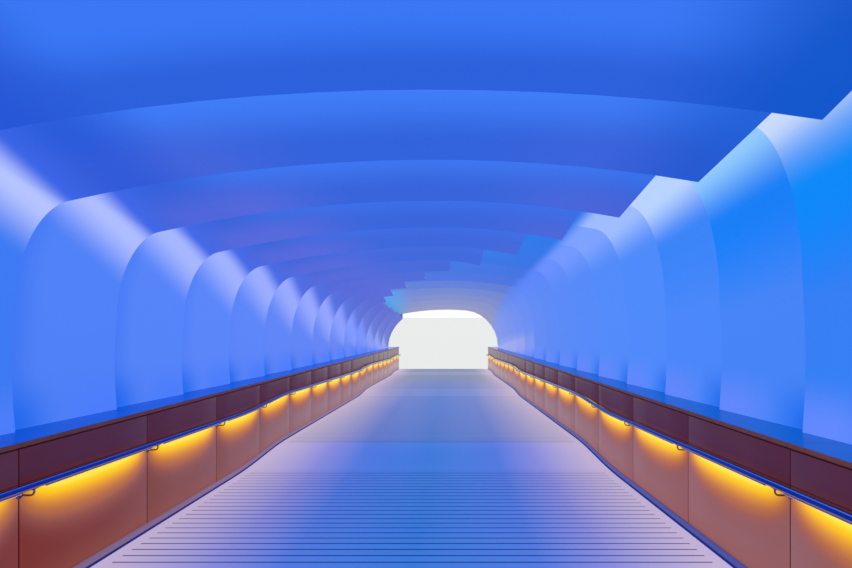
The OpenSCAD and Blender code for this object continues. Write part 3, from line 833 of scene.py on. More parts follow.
# Patinated sheet: the same satin, browner and duller, with a painted glow
DARK_COPPER = LitCopper(
    "dark patinated copper", "#52263A", "#4E243C", 0.4, metal=0.1, tint_mm=700, grain_mm=3, glow=0.75,
    body=0.3, shine=0.25,
    # Painted light: paler and greyer further along; painted shade at the foot, just above the rail
    washes=(Wash("#7E6A74", (("along", -9, 12, 0.8),)), Wash("#581E22", (("height", 0.97, 0.9, 0.9),))),
)
# Bare folded edges catch little light and have a faint painted glow, and the nosing is a thin warm line
PANEL_EDGE = Finish("copper panel edge", "#5A1E20", "#4E1A1E", 0.5, metal=0.3, tint_mm=200, glow=0.3,
                    body=0.6)
NOSING = Finish("brushed copper nosing", "#9A5640", "#8A4C3A", 0.4, metal=0.5, tint_mm=400, grain_mm=3)
# Sprayed lacquer: smooth and glossy, with the faint waves of a sprayed board. Its blue, a little
# different on the right, and its glow are a painted reflection of the lit walls
LEDGE = Finish("blue glossy lacquer", "#064CC2", "#0650C8", 0.25, tint_mm=800, grain_mm=60,
               grain_depth_mm=0.03, glow=0.65, body=0.3, shine=0.08,
               washes=(Wash("#0058BC", (("across", -1, 1),)),))
# Stainless strip, brushed along its length, which shows as long streaks. Its mauve on the left,
# its blue on the right and its glow are painted reflections of the lit walls and floor
SKIRTING = Finish("brushed stainless skirting", "#94769A", "#8A6E90", 0.32, metal=0.3, stretch=(1, 0.05, 1),
                  glow=0.5, body=0.4, washes=(Wash("#4450A0", (("across", -1, 1),)),))
# Polished tube mirrors the lit walls in a painted blue reflection, paler on top and lilac
# underneath; satin rod is softer, and screws are bright points
RAIL = RoundSteel("polished stainless rail", "#3858AC", "#3452A4", 0.16, metal=1.0, tint_mm=500, grain_mm=2,
                  grain_depth_mm=0.02, washes=(Wash("#7AB4E8", (("up", 0.5, 0.8), ("up", 1.0, 0.9))),
                                               Wash("#A8A0C0", (("up", -0.1, -0.4),))))
BRACKET = Finish("satin stainless", "#7C7486", "#70697A", 0.28, metal=1.0, tint_mm=60, grain_mm=1.5,
                 grain_depth_mm=0.03)
SCREW = Finish("bright screw steel", "#D0D2D6", "#BFC2C8", 0.22, metal=1.0, tint_mm=20, grain_mm=1)
# Opal diffusers: evenly lit acrylic with a faint sheen
AMBER = Finish("amber opal diffuser", "#FFC41E", "#FFB80E", 0.4, tint_mm=200, glow=1.6)
COVE = Finish("white opal diffuser", "#E8F0FF", "#DCE8FF", 0.4, tint_mm=200, glow=1.0)
# Anodised channel: satin grey. The board behind the panels is matt and dark red in the joints
HOUSING = Finish("anodised aluminium", "#A9ACB4", "#9DA0A8", 0.35, metal=0.9, grain_mm=2)
WALL_BOARD = Finish("red oxide painted board", "#5A181A", "#4E1618", 0.85, grain_mm=10, grain_depth_mm=0.3)
# Coil-coated sheet: satin paint that follows the rolled sheet, with faint oil canning
CLADDING = Finish("coil coated cladding", "#CDD1D4", "#C4C8CC", 0.38, tint_mm=1800, grain_mm=300,
                  grain_depth_mm=0.5)
# Foamed core between the sheets: matt and grey, seen in the joints
INSULATED = Finish("insulated wall core", "#9A9C9E", "#8E9092", 0.7, grain_mm=12, grain_depth_mm=0.3)
# Zinc: dull metal with cloudy patches. Powder coat: even, with a fine orange peel
ROOF = Finish("zinc coated roof sheet", "#B4B9BE", "#A6ABB1", 0.36, metal=0.55, tint_mm=700, grain_mm=30,
              grain_depth_mm=0.2)
GUTTER = Finish("folded zinc gutter", "#BFC3C6", "#B0B4B8", 0.4, metal=0.6, tint_mm=500, grain_mm=20)
PORTAL = Finish("blue grey powder coat", "#A9B6D6", "#9FACD0", 0.45, tint_mm=900, grain_mm=3)
# Micaceous iron oxide paint over blasted steel: dull, with an orange-peel texture
COLUMN_PAINT = Finish("column paint", "#8C9198", "#82878E", 0.5, tint_mm=700, grain_mm=5, grain_depth_mm=0.25)
GIRDER_PAINT = Finish("girder paint", "#7A7F86", "#70757C", 0.52, tint_mm=900, grain_mm=5,
                      grain_depth_mm=0.25)
# Rubber is black and matt, concrete is blotched and pitted, and galvanised bolts are mottled grey
RUBBER = Finish("bearing rubber", "#2A2A2C", "#232325", 0.75, tint_mm=120, grain_mm=3)
CONCRETE = Finish("cast concrete", "#A6A49F", "#969490", 0.88, tint_mm=500, grain_mm=9, grain_depth_mm=0.7)
GALVANISED = Finish("galvanised bolt steel", "#A8ADB0", "#8E9397", 0.45, metal=0.85, tint_mm=15, grain_mm=4)


# Sub-assemblies


@dataclass
class ShellSet:
    """One side's set of curved vault shells, each hung behind the edge of the one in front.

    The values of droop, sweep, right_crown and steps are explained where they are unpacked. The
    nearest shell's corner is near_corner high in the left and in the right set, and the farthest
    shell's is far_corner wide and high.
    """

    lines: BridgeLines
    side: Side
    count: int = 15
    first: float = 0.775
    growth: float = 1.07
    lap: float = 0.16
    start: float = 0.0804
    thickness: float = 0.03
    flare: float = 0.1
    rise: float = 0.22
    belly: float = 0.025
    arc: float = 13.0
    droop: Sizes = (16.2, 1.9, 2.5)
    crown_x: float = 0.2
    left_crown: float = 2.195
    right_crown: Sizes = (2.73, 2.215)
    corner_w: float = 0.42
    near_corner: Sizes = (0.67, 1.15)
    far_corner: Sizes = (1.8, 1.7)
    sweep: Sizes = (0.1, 2.44, 0.86, 20.9)
    overlap: float = 0.7
    group: int = 4
    steps: tuple[int, int, int, int] = (8, 22, 16, 6)

    def far(self, i: int) -> float:
        """Station of a shell's far edge: pitches grow by the same factor from shell to shell."""
        pitch = (self.lines.vault - self.first) * (self.growth - 1) / (self.growth ** (self.count - 1) - 1)
        return self.first + pitch * (self.growth**i - 1) / (self.growth - 1)

    def near(self, i: int) -> float:
        """Station of a shell's near edge."""
        return self.start if i == 0 else self.far(i - 1) - self.lap

    def free_edge(self, i: int) -> float:
        """X of the left set's free edge: middle + half * cos(pi * (far + before) / length)."""
        middle, half, before, length = self.sweep
        return middle + half * math.cos(math.pi * min(max((self.far(i) + before) / length, 0), 1))

    def profile(self, i: int, opening: float) -> tuple[Array, Array]:
        """Inner face of a shell across the walkway, as if it stood on the left.

        The wall bows outwards by half a sine wave, the ceiling is a flat parabola, and the corner
        between them is a quarter of an ellipse taken off below that parabola. Beyond its crown the
        left set's ceiling has a radius that starts at the first value of droop, falls by the second
        a metre, and is never less than the third.

        Args:
            i: Number of the shell.
            opening: 1 for the near edge, where the shell leans outwards, and 0 for the far edge.

        Returns:
            Points as X and height over the cap, and the place of each on the profile.
        """
        wall_steps, turn_steps, ceiling_steps, _ = self.steps
        share = min(self.far(i) / self.lines.vault, 1.0)
        left = self.side is Side.LEFT
        near_h = self.near_corner[0] if left else self.near_corner[1]
        foot = self.lines.shell_x + self.flare * opening
        width = self.corner_w + (self.far_corner[0] - self.corner_w) * share**2
        height = near_h + (self.far_corner[1] - near_h) * share
        near_crown, far_crown = self.right_crown
        crown = self.left_crown if left else near_crown + (far_crown - near_crown) * share**2
        crown += self.rise * opening
        reach = self.free_edge(i) if left else self.overlap - self.free_edge(i)
        middle = self.crown_x if left else -self.crown_x
        corner = width - foot
        start, rate, least = self.droop
        beyond = max(start - rate * self.far(i), least) if left else self.arc

        def top(x: Reals) -> Reals:
            """Height of the parabola."""
            return crown - (x - middle) ** 2 / (2 * np.where(x > middle, beyond, self.arc))

        last = 0.0 if reach > corner else math.asin(min((corner - reach) / width, 1.0))
        a = np.linspace(math.pi / 2, last, turn_steps + 1)
        x = corner - width * np.sin(a)
        turn = np.column_stack([x, top(x) - height * (1 - np.cos(a))])
        t = np.linspace(0, 1, wall_steps, endpoint=False)
        wall_top = top(-foot) - height
        wall = np.column_stack([-foot - self.belly * np.sin(np.pi * t), wall_top * t])
        parts = [wall, turn]
        places = [-1 - wall_top * (1 - t), -a / (math.pi / 2)]
        if not left or reach > width - self.lines.shell_x + self.thickness:
            x = np.linspace(corner, reach, ceiling_steps + 1)[1:]
            parts.append(np.column_stack([x, top(x)]))
            places.append(x - corner)
        return np.concatenate(parts), np.concatenate(places)

    def ring(self, points: Array, station: float, offset: float) -> Array:
        """Puts a profile in its place on the bridge.

        Args:
            points: Points of the profile.
            station: Station at which it stands.
            offset: Distance by which it is moved outwards along its normals.

        Returns:
            The points in the bridge's frame.
        """
        ahead = np.gradient(points, axis=0)
        normal = np.column_stack([-ahead[:, 1], ahead[:, 0]]) / np.linalg.norm(ahead, axis=1, keepdims=True)
        normal[0] = (-1, 0)
        x, height = (points + offset * normal).T
        z = self.lines.cap(station) + self.lines.seat + height
        return grid(-self.side.value * x, self.lines.along(station), z)

    def shell(self, i: int) -> Surface:
        """One shell: a straight blend from its near profile to its far profile, of even thickness.

        Args:
            i: Number of the shell.

        Returns:
            The closed shell.
        """
        (near, place), (far, _) = self.profile(i, 1), self.profile(i, 0)
        rings, uvs = [], []
        for share in np.linspace(0, 1, self.steps[-1]):
            points = near + (far - near) * share
            station = self.near(i) + (self.far(i) - self.near(i)) * share
            inner, outer = (self.ring(points, station, offset) for offset in (0, self.thickness))
            rings.append(np.concatenate([inner, outer[::-1]]))
            uv = grid(share, place, points[:, 1], i / (self.count - 1))
            uvs.append(np.concatenate([uv, uv[::-1]]))
        painted, bare = range(2)
        skins = [painted] * (len(near) - 1) + [bare] * (len(near) + 1)
        return loft(np.array(rings), np.array(uvs), skins, bare, folded=True)

    def build(self) -> None:
        """Makes a piece for each node of shells."""
        word = self.side.word
        paint, slot = (SHELL_LEFT, "shell_blue") if self.side is Side.LEFT else (SHELL_RIGHT, "shell_azure")
        for number, first in enumerate(range(0, self.count, self.group), 1):
            forms = [self.shell(i) for i in range(first, min(first + self.group, self.count))]
            make_piece(f"{word}_vault_shells_{number}", forms, (paint, SHELL_BACK), slot,
                       [f"{word}_shells_{number}"], crease=50)


@dataclass
class Floor:
    """Terrazzo ramps with filled cross grooves, and plain level landings."""

    lines: BridgeLines
    pitch: float = 0.135
    groove_w: float = 0.026
    groove_d: float = 0.0025
    groove_end: float = 0.001
    groove_rows: Sizes = (-0.5, -0.4, 0.4, 0.5)
    groove_depths: Sizes = (0, 1, 1, 0)
    margin: float = 0.15
    seal_w: float = 0.034
    seal_d: float = 0.0015
    seal_end: float = 0.0005
    step: float = 0.5

    def piece(self, s0: float, s1: float, grooved: bool) -> Surface:
        """One length of floor from the deck up, with its grooves sunk into it.

        The upper face is a grid over stations and places across. A groove is a pair of rows at
        full depth between a pair at floor level, placed by shares of its width and depth.

        Args:
            s0: First station.
            s1: Last station.
            grooved: Whether the length has grooves.

        Returns:
            The closed form, with terrazzo, filler, sealant and screed.
        """
        lines = self.lines
        terrazzo, filler, sealant, screed = range(4)
        s = lines.stations(s0, s1, self.step)
        sunk = np.zeros(len(s))
        if grooved:
            middle = np.arange(s0 + self.pitch, s1 - self.pitch / 2, self.pitch)
            rows = middle[:, None] + np.array(self.groove_rows) * self.groove_w
            depth = np.broadcast_to(np.array(self.groove_depths) * self.groove_d, rows.shape)
            clear = abs(s[:, None] - middle).min(1) > self.groove_w
            sunk = np.concatenate([sunk[clear], depth.ravel()])
            s = np.concatenate([s[clear], rows.ravel()])
            order = np.argsort(s)
            s, sunk = s[order], sunk[order]
        outer = lines.half_w - lines.seat
        seal = outer - self.seal_w
        groove = lines.half_w - self.margin
        x = np.array([outer, seal + self.seal_end, seal, groove + self.groove_end, groove])
        x = np.concatenate([-x, x[::-1]])
        z = lines.floor(s)[:, None] - sunk[:, None] * (abs(x) <= groove) - self.seal_d * (abs(x) > seal)
        y = lines.along(s)[:, None]
        top, low = grid(x, y, z), grid(x[::-1], y, lines.deck(s)[:, None] + lines.seat)
        # The sealant band along each wall is drawn dark blue as painted shade of the shadow gap
        skins = [sealant] * 2 + [terrazzo] * 5 + [sealant] * 2 + [screed] * 11
        form = loft(np.concatenate([top, low], 1), skins=skins, ends=screed, folded=True)
        for row in np.flatnonzero((sunk[:-1] > 0) & (sunk[1:] > 0)):
            form.material[row * 2 * len(x) + len(x) // 2 - 1] = filler
        return form

    def build(self) -> None:
        """Makes the ramps and the landings."""
        lines, starts = self.lines, self.lines.landing_starts
        ramps = zip([0, *(starts + lines.landing)], [*starts, lines.length], strict=True)
        landings = zip(starts + lines.seat, starts + lines.landing - lines.seat, strict=True)
        for kind, spans, finish in (("ramp", ramps, FLOOR), ("landing", landings, LANDING)):
            forms = [self.piece(a, b, kind == "ramp") for a, b in spans]
            make_piece(f"terrazzo_{kind}s", forms, (finish, INLAY, SEAL_AND_SHADE, SCREED), "floor_terrazzo",
                       [f"{kind}_floors"])


@dataclass
class Panelling:
    """Copper wall panels, wall cap and skirting of one side.

    A panel's front edges are rounded over edge, through a point at the share ease of it. The
    profiles of cap and skirting are carried along the wall: the cap's X is from the panels' face
    less nosing and its height from the cap line, and the skirting's height is from the foot.
    """

    lines: BridgeLines
    side: Side
    joint: float = 0.012
    end_plate: float = 0.0122
    edge: float = 0.003
    ease: float = 0.3
    panel_step: float = 0.6
    split_low: float = 0.898
    split_high: float = 0.902
    foot: float = 0.012
    reveal: float = 0.016
    strip_end: float = 0.11
    nosing: float = 0.015
    cap_gap: float = 0.002
    cap_x: Sizes = (0.003, 0, 0, 0.0008, 0.004, 0.014, 0.0142, 0.0158, 0.016)
    cap_z: Sizes = (-0.034, -0.031, -0.006, -0.0015, 0, 0, -0.0025, -0.0025, 0, 0, -0.034)
    skirting_gap: float = 0.0007
    skirting_step: float = 0.8
    skirting_x: Sizes = (2.7858, 2.7858, 2.7868, 2.789, 2.7998, 2.7998)
    skirting_z: Sizes = (0, 0.057, 0.0593, 0.06, 0.06, 0)

    def tray(self, s0: float, s1: float, low: Line, high: Line, middle: float) -> Surface:
        """Folded sheet panel whose front edges are rounded.

        A ring runs up the front face and down the back at each station. The front stands back
        by edge at the panel's border and by nothing from edge inwards.

        Args:
            s0: First station.
            s1: Last station.
            low: Line of the lower edge.
            high: Line of the upper edge.
            middle: Station of the middle of the bay.

        Returns:
            The closed panel.
        """
        lines, e, mid = self.lines, self.edge, self.ease * self.edge
        inner = lines.stations(s0 + e, s1 - e, self.panel_step)
        s = np.concatenate([[s0, s0 + mid], inner, [s1 - mid, s1]])
        border = np.zeros(len(s))
        border[[0, 1, -2, -1]] = (e, mid, mid, e)
        up = np.array([0, mid, e, 0, 0, -e, -mid, 0])
        part = np.array([0, 0, 0, 1 / 3, 2 / 3, 1, 1, 1])
        back = np.array([e, mid, 0, 0, 0, 0, mid, e])
        z0, z1 = low(s)[:, None], high(s)[:, None]
        z = np.concatenate([z0 + up + part * (z1 - z0), z1, z0], 1)
        x = lines.half_w + np.maximum(border[:, None], back)
        x = np.concatenate([x, np.full((len(s), 2), lines.panel_back)], 1)
        half = lines.bay / 2 - self.strip_end
        uv = grid(((s - middle) / half)[:, None], z - lines.floor(s)[:, None])
        face, fold = range(2)
        skins = [fold] + [face] * 5 + [fold] * 4
        return loft(grid(x, lines.along(s)[:, None], z), uv, skins, fold).sided(self.side)

    def row(self, low: Line, high: Line) -> list[Surface]:
        """One row of panels along the wall.

        Args:
            low: Line of the lower edges.
            high: Line of the upper edges.

        Returns:
            The closed panels.
        """
        spans = enumerate(self.lines.bays(self.joint / 2, self.end_plate))
        return [self.tray(s0, s1, low, high, (k + 0.5) * self.lines.bay) for k, (s0, s1) in spans]

    def cap(self) -> list[Surface]:
        """Cap of the wall: a copper nosing with a rounded edge, and a lacquered ledge behind.

        Returns:
            The closed lengths, one to a bay.
        """
        lines, forms = self.lines, []
        x = lines.half_w - self.nosing + np.array(self.cap_x)
        x = np.concatenate([x, [lines.wall_in - lines.seat] * 2])
        nosing, ledge, groove, under = range(4)
        # The groove behind the nosing takes the sealant's dark blue, as painted shade
        skins = [nosing] * 5 + [groove] * 3 + [ledge, under, under]
        for span in lines.bays(self.cap_gap, 0.0):
            s = np.array(span)[:, None]
            rings = grid(x, lines.along(s), lines.cap(s) + np.array(self.cap_z))
            forms.append(loft(rings, skins=skins, ends=under).sided(self.side))
        return forms

    def skirting(self) -> list[Surface]:
        """Skirting strip with a rounded top.

        Returns:
            The closed lengths, of two bays each.
        """
        lines, forms = self.lines, []
        z = self.foot + np.array(self.skirting_z)
        cuts = np.append(np.arange(0, lines.bay_count, 2), lines.bay_count) * lines.bay
        for s0, s1 in zip(cuts[:-1], cuts[1:], strict=True):
            start = max(s0 + self.skirting_gap, self.end_plate)
            end = min(s1 - self.skirting_gap, lines.length - self.end_plate)
            s = lines.stations(start, end, self.skirting_step)[:, None]
            forms.append(loft(grid(self.skirting_x, lines.along(s), lines.floor(s) + z)).sided(self.side))
        return forms

    def build(self) -> None:
        """Makes both rows of panels, the cap and the skirting."""
        lines, word, floor = self.lines, self.side.word, self.lines.floor
        under_cap = lines.cap_t + self.reveal
        low = self.row(lambda s: floor(s) + self.foot, lambda s: floor(s) + self.split_low)
        high = self.row(lambda s: floor(s) + self.split_high, lambda s: lines.cap(s) - under_cap)
        for name, forms, finishes, slot, node in (
            ("lower_copper", low, (COPPER, PANEL_EDGE), "copper_panel", "lower_panels"),
            ("upper_copper", high, (DARK_COPPER, PANEL_EDGE), "dark_copper_panel", "upper_panels"),
            ("wall_cap", self.cap(), (NOSING, LEDGE, SEAL_AND_SHADE, HOUSING), "cap_copper", "cap"),
            ("skirting_strip", self.skirting(), (SKIRTING,), "stainless", "skirting"),
        ):
            make_piece(f"{name}_{word}", forms, finishes, slot, [f"{node}_{word}"])


@dataclass
class Handrail:
    """Round handrail of one side, on bent rod brackets, with light strips under it.

    Its ends turn to the wall in quarter bends, of bend_rows points in the rail and in a rod. The
    light strip's profile is from the rail's middle and down from its underside. The saddle's sizes
    are half its width and length, its depth, how far it is sunk into the rail, and its cut edge.
    """

    lines: BridgeLines
    side: Side
    x: float = 2.69
    end: float = 0.15
    turn: float = 0.06
    radius: float = 0.025
    sides: int = 24
    flat: float = 0.02415
    rod: float = 0.007
    rod_sides: int = 12
    gap: float = 0.0005
    drop: float = 0.048
    bend: float = 0.028
    step: float = 0.8
    plate: Plate = (0.036, 0.005, 32, 0.0012)
    flange: Plate = (0.028, 0.006, 28, 0.0012)
    collar: Plate = (0.011, 0.005, 16, 0.001)
    screw: Plate = (0.0042, 0.0022, 10, 0.0008)
    screw_ring: float = 0.019
    screw_turns: Sizes = (90, 210, 330)
    bend_rows: tuple[int, int] = (10, 7)
    saddle: Sizes = (0.011, 0.03, 0.0025, 0.003, 0.0008)
    light_end: float = 0.11
    light_x: Sizes = (-0.008, -0.008, -0.0065, 0.0065, 0.008, 0.008)
    light_z: Sizes = (0.0002, 0.0085, 0.0102, 0.0102, 0.0085, 0.0002)

    @staticmethod
    def boss(plate: Plate, skin: int = 0) -> Surface:
        """Round plate on the right wall, which faces the axis."""
        return disc(*plate, skin).along_x().sided(Side.LEFT)

    def rail(self, s: Reals) -> Array:
        """Height of the middle of the rail."""
        return self.lines.floor(s) + self.lines.rail_height

    @property
    def straight(self) -> float:
        """Station from which the rail is straight."""
        return self.end + self.radius + self.turn

    @property
    def first(self) -> float:
        """Station of the first bracket."""
        return self.straight + 2 * self.rod

    def tube(self) -> list[Surface]:
        """The rail from wall to wall, with a round plate where each end meets the wall.

        Returns:
            The closed rail and plates.
        """
        lines, wall = self.lines, self.lines.half_w - self.lines.seat
        a = np.linspace(math.pi / 2, 0, self.bend_rows[0])
        out, back = self.x + self.turn * (1 - np.cos(a)), self.straight - self.turn * np.sin(a)
        middle = lines.stations(self.straight, lines.length - self.straight, self.step)[1:-1]
        x = np.concatenate([[wall], out, np.full(len(middle), self.x), out[::-1], [wall]])
        s = np.concatenate([back[:1], back, middle, lines.length - back[::-1], lines.length - back[:1]])
        path = grid(x, lines.along(s), self.rail(s))
        ends = [self.boss(self.plate).moved(*path[i]) for i in (0, -1)]
        return [form.sided(self.side) for form in (tube(path, self.radius, self.sides, (0, 0, 1)), *ends)]

    def bracket(self) -> list[Surface]:
        """One bracket at station 0, with the middle of the rail at height 0.

        Returns:
            The closed rod, flange, collar, screws and saddle.
        """
        foot = -self.flat - self.gap - self.drop
        wall = self.lines.half_w - self.lines.seat
        face = wall - self.flange[1]
        a = np.linspace(0, math.pi / 2, self.bend_rows[1])
        x = np.concatenate([[wall - self.flange[1] / 2], self.x + self.bend * (1 - np.sin(a)), [self.x]])
        z = np.concatenate([[foot], foot + self.bend * (1 - np.cos(a)), [-self.flat]])
        forms = [tube(grid(x, 0.0, z), self.rod, self.rod_sides, (0, 1, 0))]
        forms += [self.boss(self.flange).moved(wall, 0, foot), self.boss(self.collar).moved(face, 0, foot)]
        for turn in np.radians(self.screw_turns):
            y, up = self.screw_ring * math.cos(turn), self.screw_ring * math.sin(turn)
            forms.append(self.boss(self.screw, skin=1).moved(face, y, foot + up))
        wide, long, deep, sunk, edge = self.saddle
        low, high = (self.x - wide, -long, -self.flat - deep), (self.x + wide, long, -self.flat + sunk)
        return [*forms, block(low, high, edge)]

    def brackets(self) -> list[Surface]:
        """Brackets at both ends and at each joint between bays.

        Returns:
            Their closed forms, in place.
        """
        lines, forms, base = self.lines, [], self.bracket()
        for s in [self.first, *(np.arange(1, lines.bay_count) * lines.bay), lines.length - self.first]:
            forms += [form.moved(0, lines.along(s), float(self.rail(s))).sided(self.side) for form in base]
        return forms

    def lights(self) -> list[Surface]:
        """Light strips: an aluminium channel with an opal face that looks down.

        Returns:
            The closed strips, one to a bay.
        """
        lines, forms = self.lines, []
        x, z = self.x + np.array(self.light_x), -self.flat - np.array(self.light_z)
        channel, opal = range(2)
        for span in lines.bays(self.light_end, self.first + self.light_end):
            s = lines.stations(*span, self.step)[:, None]
            skins = [channel, opal, opal, opal, channel, channel]
            forms.append(loft(grid(x, lines.along(s), self.rail(s) + z), skins=skins).sided(self.side))
        return forms

    def build(self) -> None:
        """Makes the rail, its brackets and its light strips."""
        for name, forms, finishes, slot, node in (
            ("round_rail", self.tube(), (RAIL,), "stainless", "handrail"),
            ("rod_brackets", self.brackets(), (BRACKET, SCREW), "stainless", "rail_brackets"),
            ("light_channels", self.lights(), (HOUSING, AMBER), "amber_light", "rail_lights"),
        ):
            make_piece(f"{name}_{self.side.word}", forms, finishes, slot, [f"{node}_{self.side.word}"])


@dataclass
class Envelope:
    """Ribbed cladding, seamed roof and gutter straps.

    A rib's crest, flanks and valley start at the shares rib_wave of its pitch. The seam's profile
    is along the bridge and up from the roof, and the strap's X and heights are from the cladding
    and the top of the wall.
    """

    lines: BridgeLines
    rib_count: int = 8
    rib_depth: float = 0.022
    rib_wave: Sizes = (0, 0.42, 0.5, 0.92)
    joint: float = 0.024
    seam_pitch: float = 0.508
    last_seam: float = 0.1
    seam_end: float = 0.01
    seam_y: Sizes = (-0.012, -0.004, -0.004, 0.004, 0.004, 0.012)
    seam_z: Sizes = (-0.01, 0.003, 0.022, 0.022, 0.003, -0.01)
    seam_steps: int = 25
    roof_steps: int = 33
    strap_start: float = 0.4
    strap_x: Sizes = (0.004, 0.119)
    strap_half: float = 0.015
    strap_z: Sizes = (-0.028, -0.0225)
    strap_edge: float = 0.0006

    def spans(self, a: float, b: float) -> list[tuple[float, float, Line]]:
        """Parts of a length of wall at full height and at the height of the cap.

        Args:
            a: First station.
            b: Last station.

        Returns:
            First station, last station and top line of each part.
        """
        lines = self.lines
        parts: list[tuple[float, float, Line]] = []
        if a < lines.covered:
            parts.append((a, min(b, lines.covered), lambda s: lines.wall(s) - lines.seat))
        if b > lines.covered:
            parts.append((max(a, lines.covered), b, lines.cap))
        return parts

    def wall(self, s: Array, top: Line, inner: float, outer: Array, skin: int) -> Surface:
        """Length of wall from the deck up.

        Args:
            s: Stations.
            top: Line of the upper face.
            inner: X of the inner face.
            outer: X of the outer face at each station.
            skin: Material of the wall.

        Returns:
            The closed length.
        """
        foot, high = self.lines.deck(s) + self.lines.seat, top(s)
        back = np.full(len(s), inner)
        x, z = np.stack([back, back, outer, outer], 1), np.stack([foot, high, high, foot], 1)
        return loft(grid(x, self.lines.along(s)[:, None], z), skins=skin, ends=skin)

    def cladding(self, side: Side) -> list[Surface]:
        """Wall core, and cladding panels with upright ribs.

        The outer face over a panel is a wave of crests and valleys of equal width, joined by
        short flanks.

        Args:
            side: Side of the bridge.

        Returns:
            The closed forms, the core first.
        """
        lines, forms = self.lines, []
        sheet, core = range(2)
        for s0, s1, top in self.spans(0, lines.length):
            forms.append(self.wall(np.array([s0, s1]), top, lines.wall_in, np.full(2, lines.wall_out), core))
        phase = np.arange(self.rib_count)[:, None] + np.array(self.rib_wave)
        deep = np.append(np.tile([0, 0, 1, 1], self.rib_count), 0) * self.rib_depth
        for a, b in lines.bays(self.joint / 2, 0.0):
            wave = np.append(a + (b - a) / self.rib_count * phase.ravel(), b)
            for s0, s1, top in self.spans(a, b):
                s = np.concatenate([[s0], wave[(wave > s0) & (wave < s1)], [s1]])
                out = lines.deck_x - np.interp(s, wave, deep)
                forms.append(self.wall(s, top, lines.wall_out + lines.seat, out, sheet))
        return [form.sided(side) for form in forms]

    def roof(self) -> list[Surface]:
        """Roof slab with standing seams that run from the ridge to both eaves.

        A seam is a folded upstand that follows the arc of the roof.

        Returns:
            The closed forms.
        """
        lines = self.lines
        x = np.linspace(-lines.eave_x, lines.eave_x, self.roof_steps)
        s = np.array([0, lines.covered])[:, None]
        rise = lines.roof_rise * (1 - np.minimum(abs(x) / lines.wall_in, 1) ** 2)
        low = grid(x, lines.along(s), lines.wall(s) + rise)
        high = grid(x, lines.along(s), lines.roof_top(x, s))
        forms = [loft(np.concatenate([low, high[:, ::-1]], 1), folded=True)]
        reach = lines.eave_x - self.seam_end
        across = np.linspace(-reach, reach, self.seam_steps)[:, None]
        y, up = np.array(self.seam_y), np.array(self.seam_z)
        for at in np.arange(self.seam_pitch, lines.covered - self.last_seam, self.seam_pitch):
            forms.append(loft(grid(across, lines.along(at) + y, lines.roof_top(across, at) + up)))
        return forms

    def straps(self) -> list[Surface]:
        """Gutter straps from the wall to the gutter's front lip, two to a bay.

        Returns:
            The closed straps of both sides.
        """
        lines, (x0, x1), (z0, z1) = self.lines, self.strap_x, self.strap_z
        low, high = (lines.deck_x + x0, -self.strap_half, z0), (lines.deck_x + x1, self.strap_half, z1)
        strap = block(low, high, self.strap_edge)
        stations = np.arange(self.strap_start, lines.covered, lines.bay / 2)
        placed = [strap.moved(0, lines.along(s), float(lines.wall(s))) for s in stations]
        return [form.sided(side) for form in placed for side in Side]

    def build(self) -> None:
        """Makes the outer walls, the roof and the gutter straps."""
        for side in Side:
            make_piece(f"ribbed_wall_{side.word}", self.cladding(side), (CLADDING, INSULATED), "cladding",
                       [f"outer_wall_{side.word}"], crease=20)
        make_piece("seamed_roof", self.roof(), (ROOF,), "roof_metal", ["roof"], crease=30)
        make_piece("gutter_straps", self.straps(), (GALVANISED,), "gutter_metal")


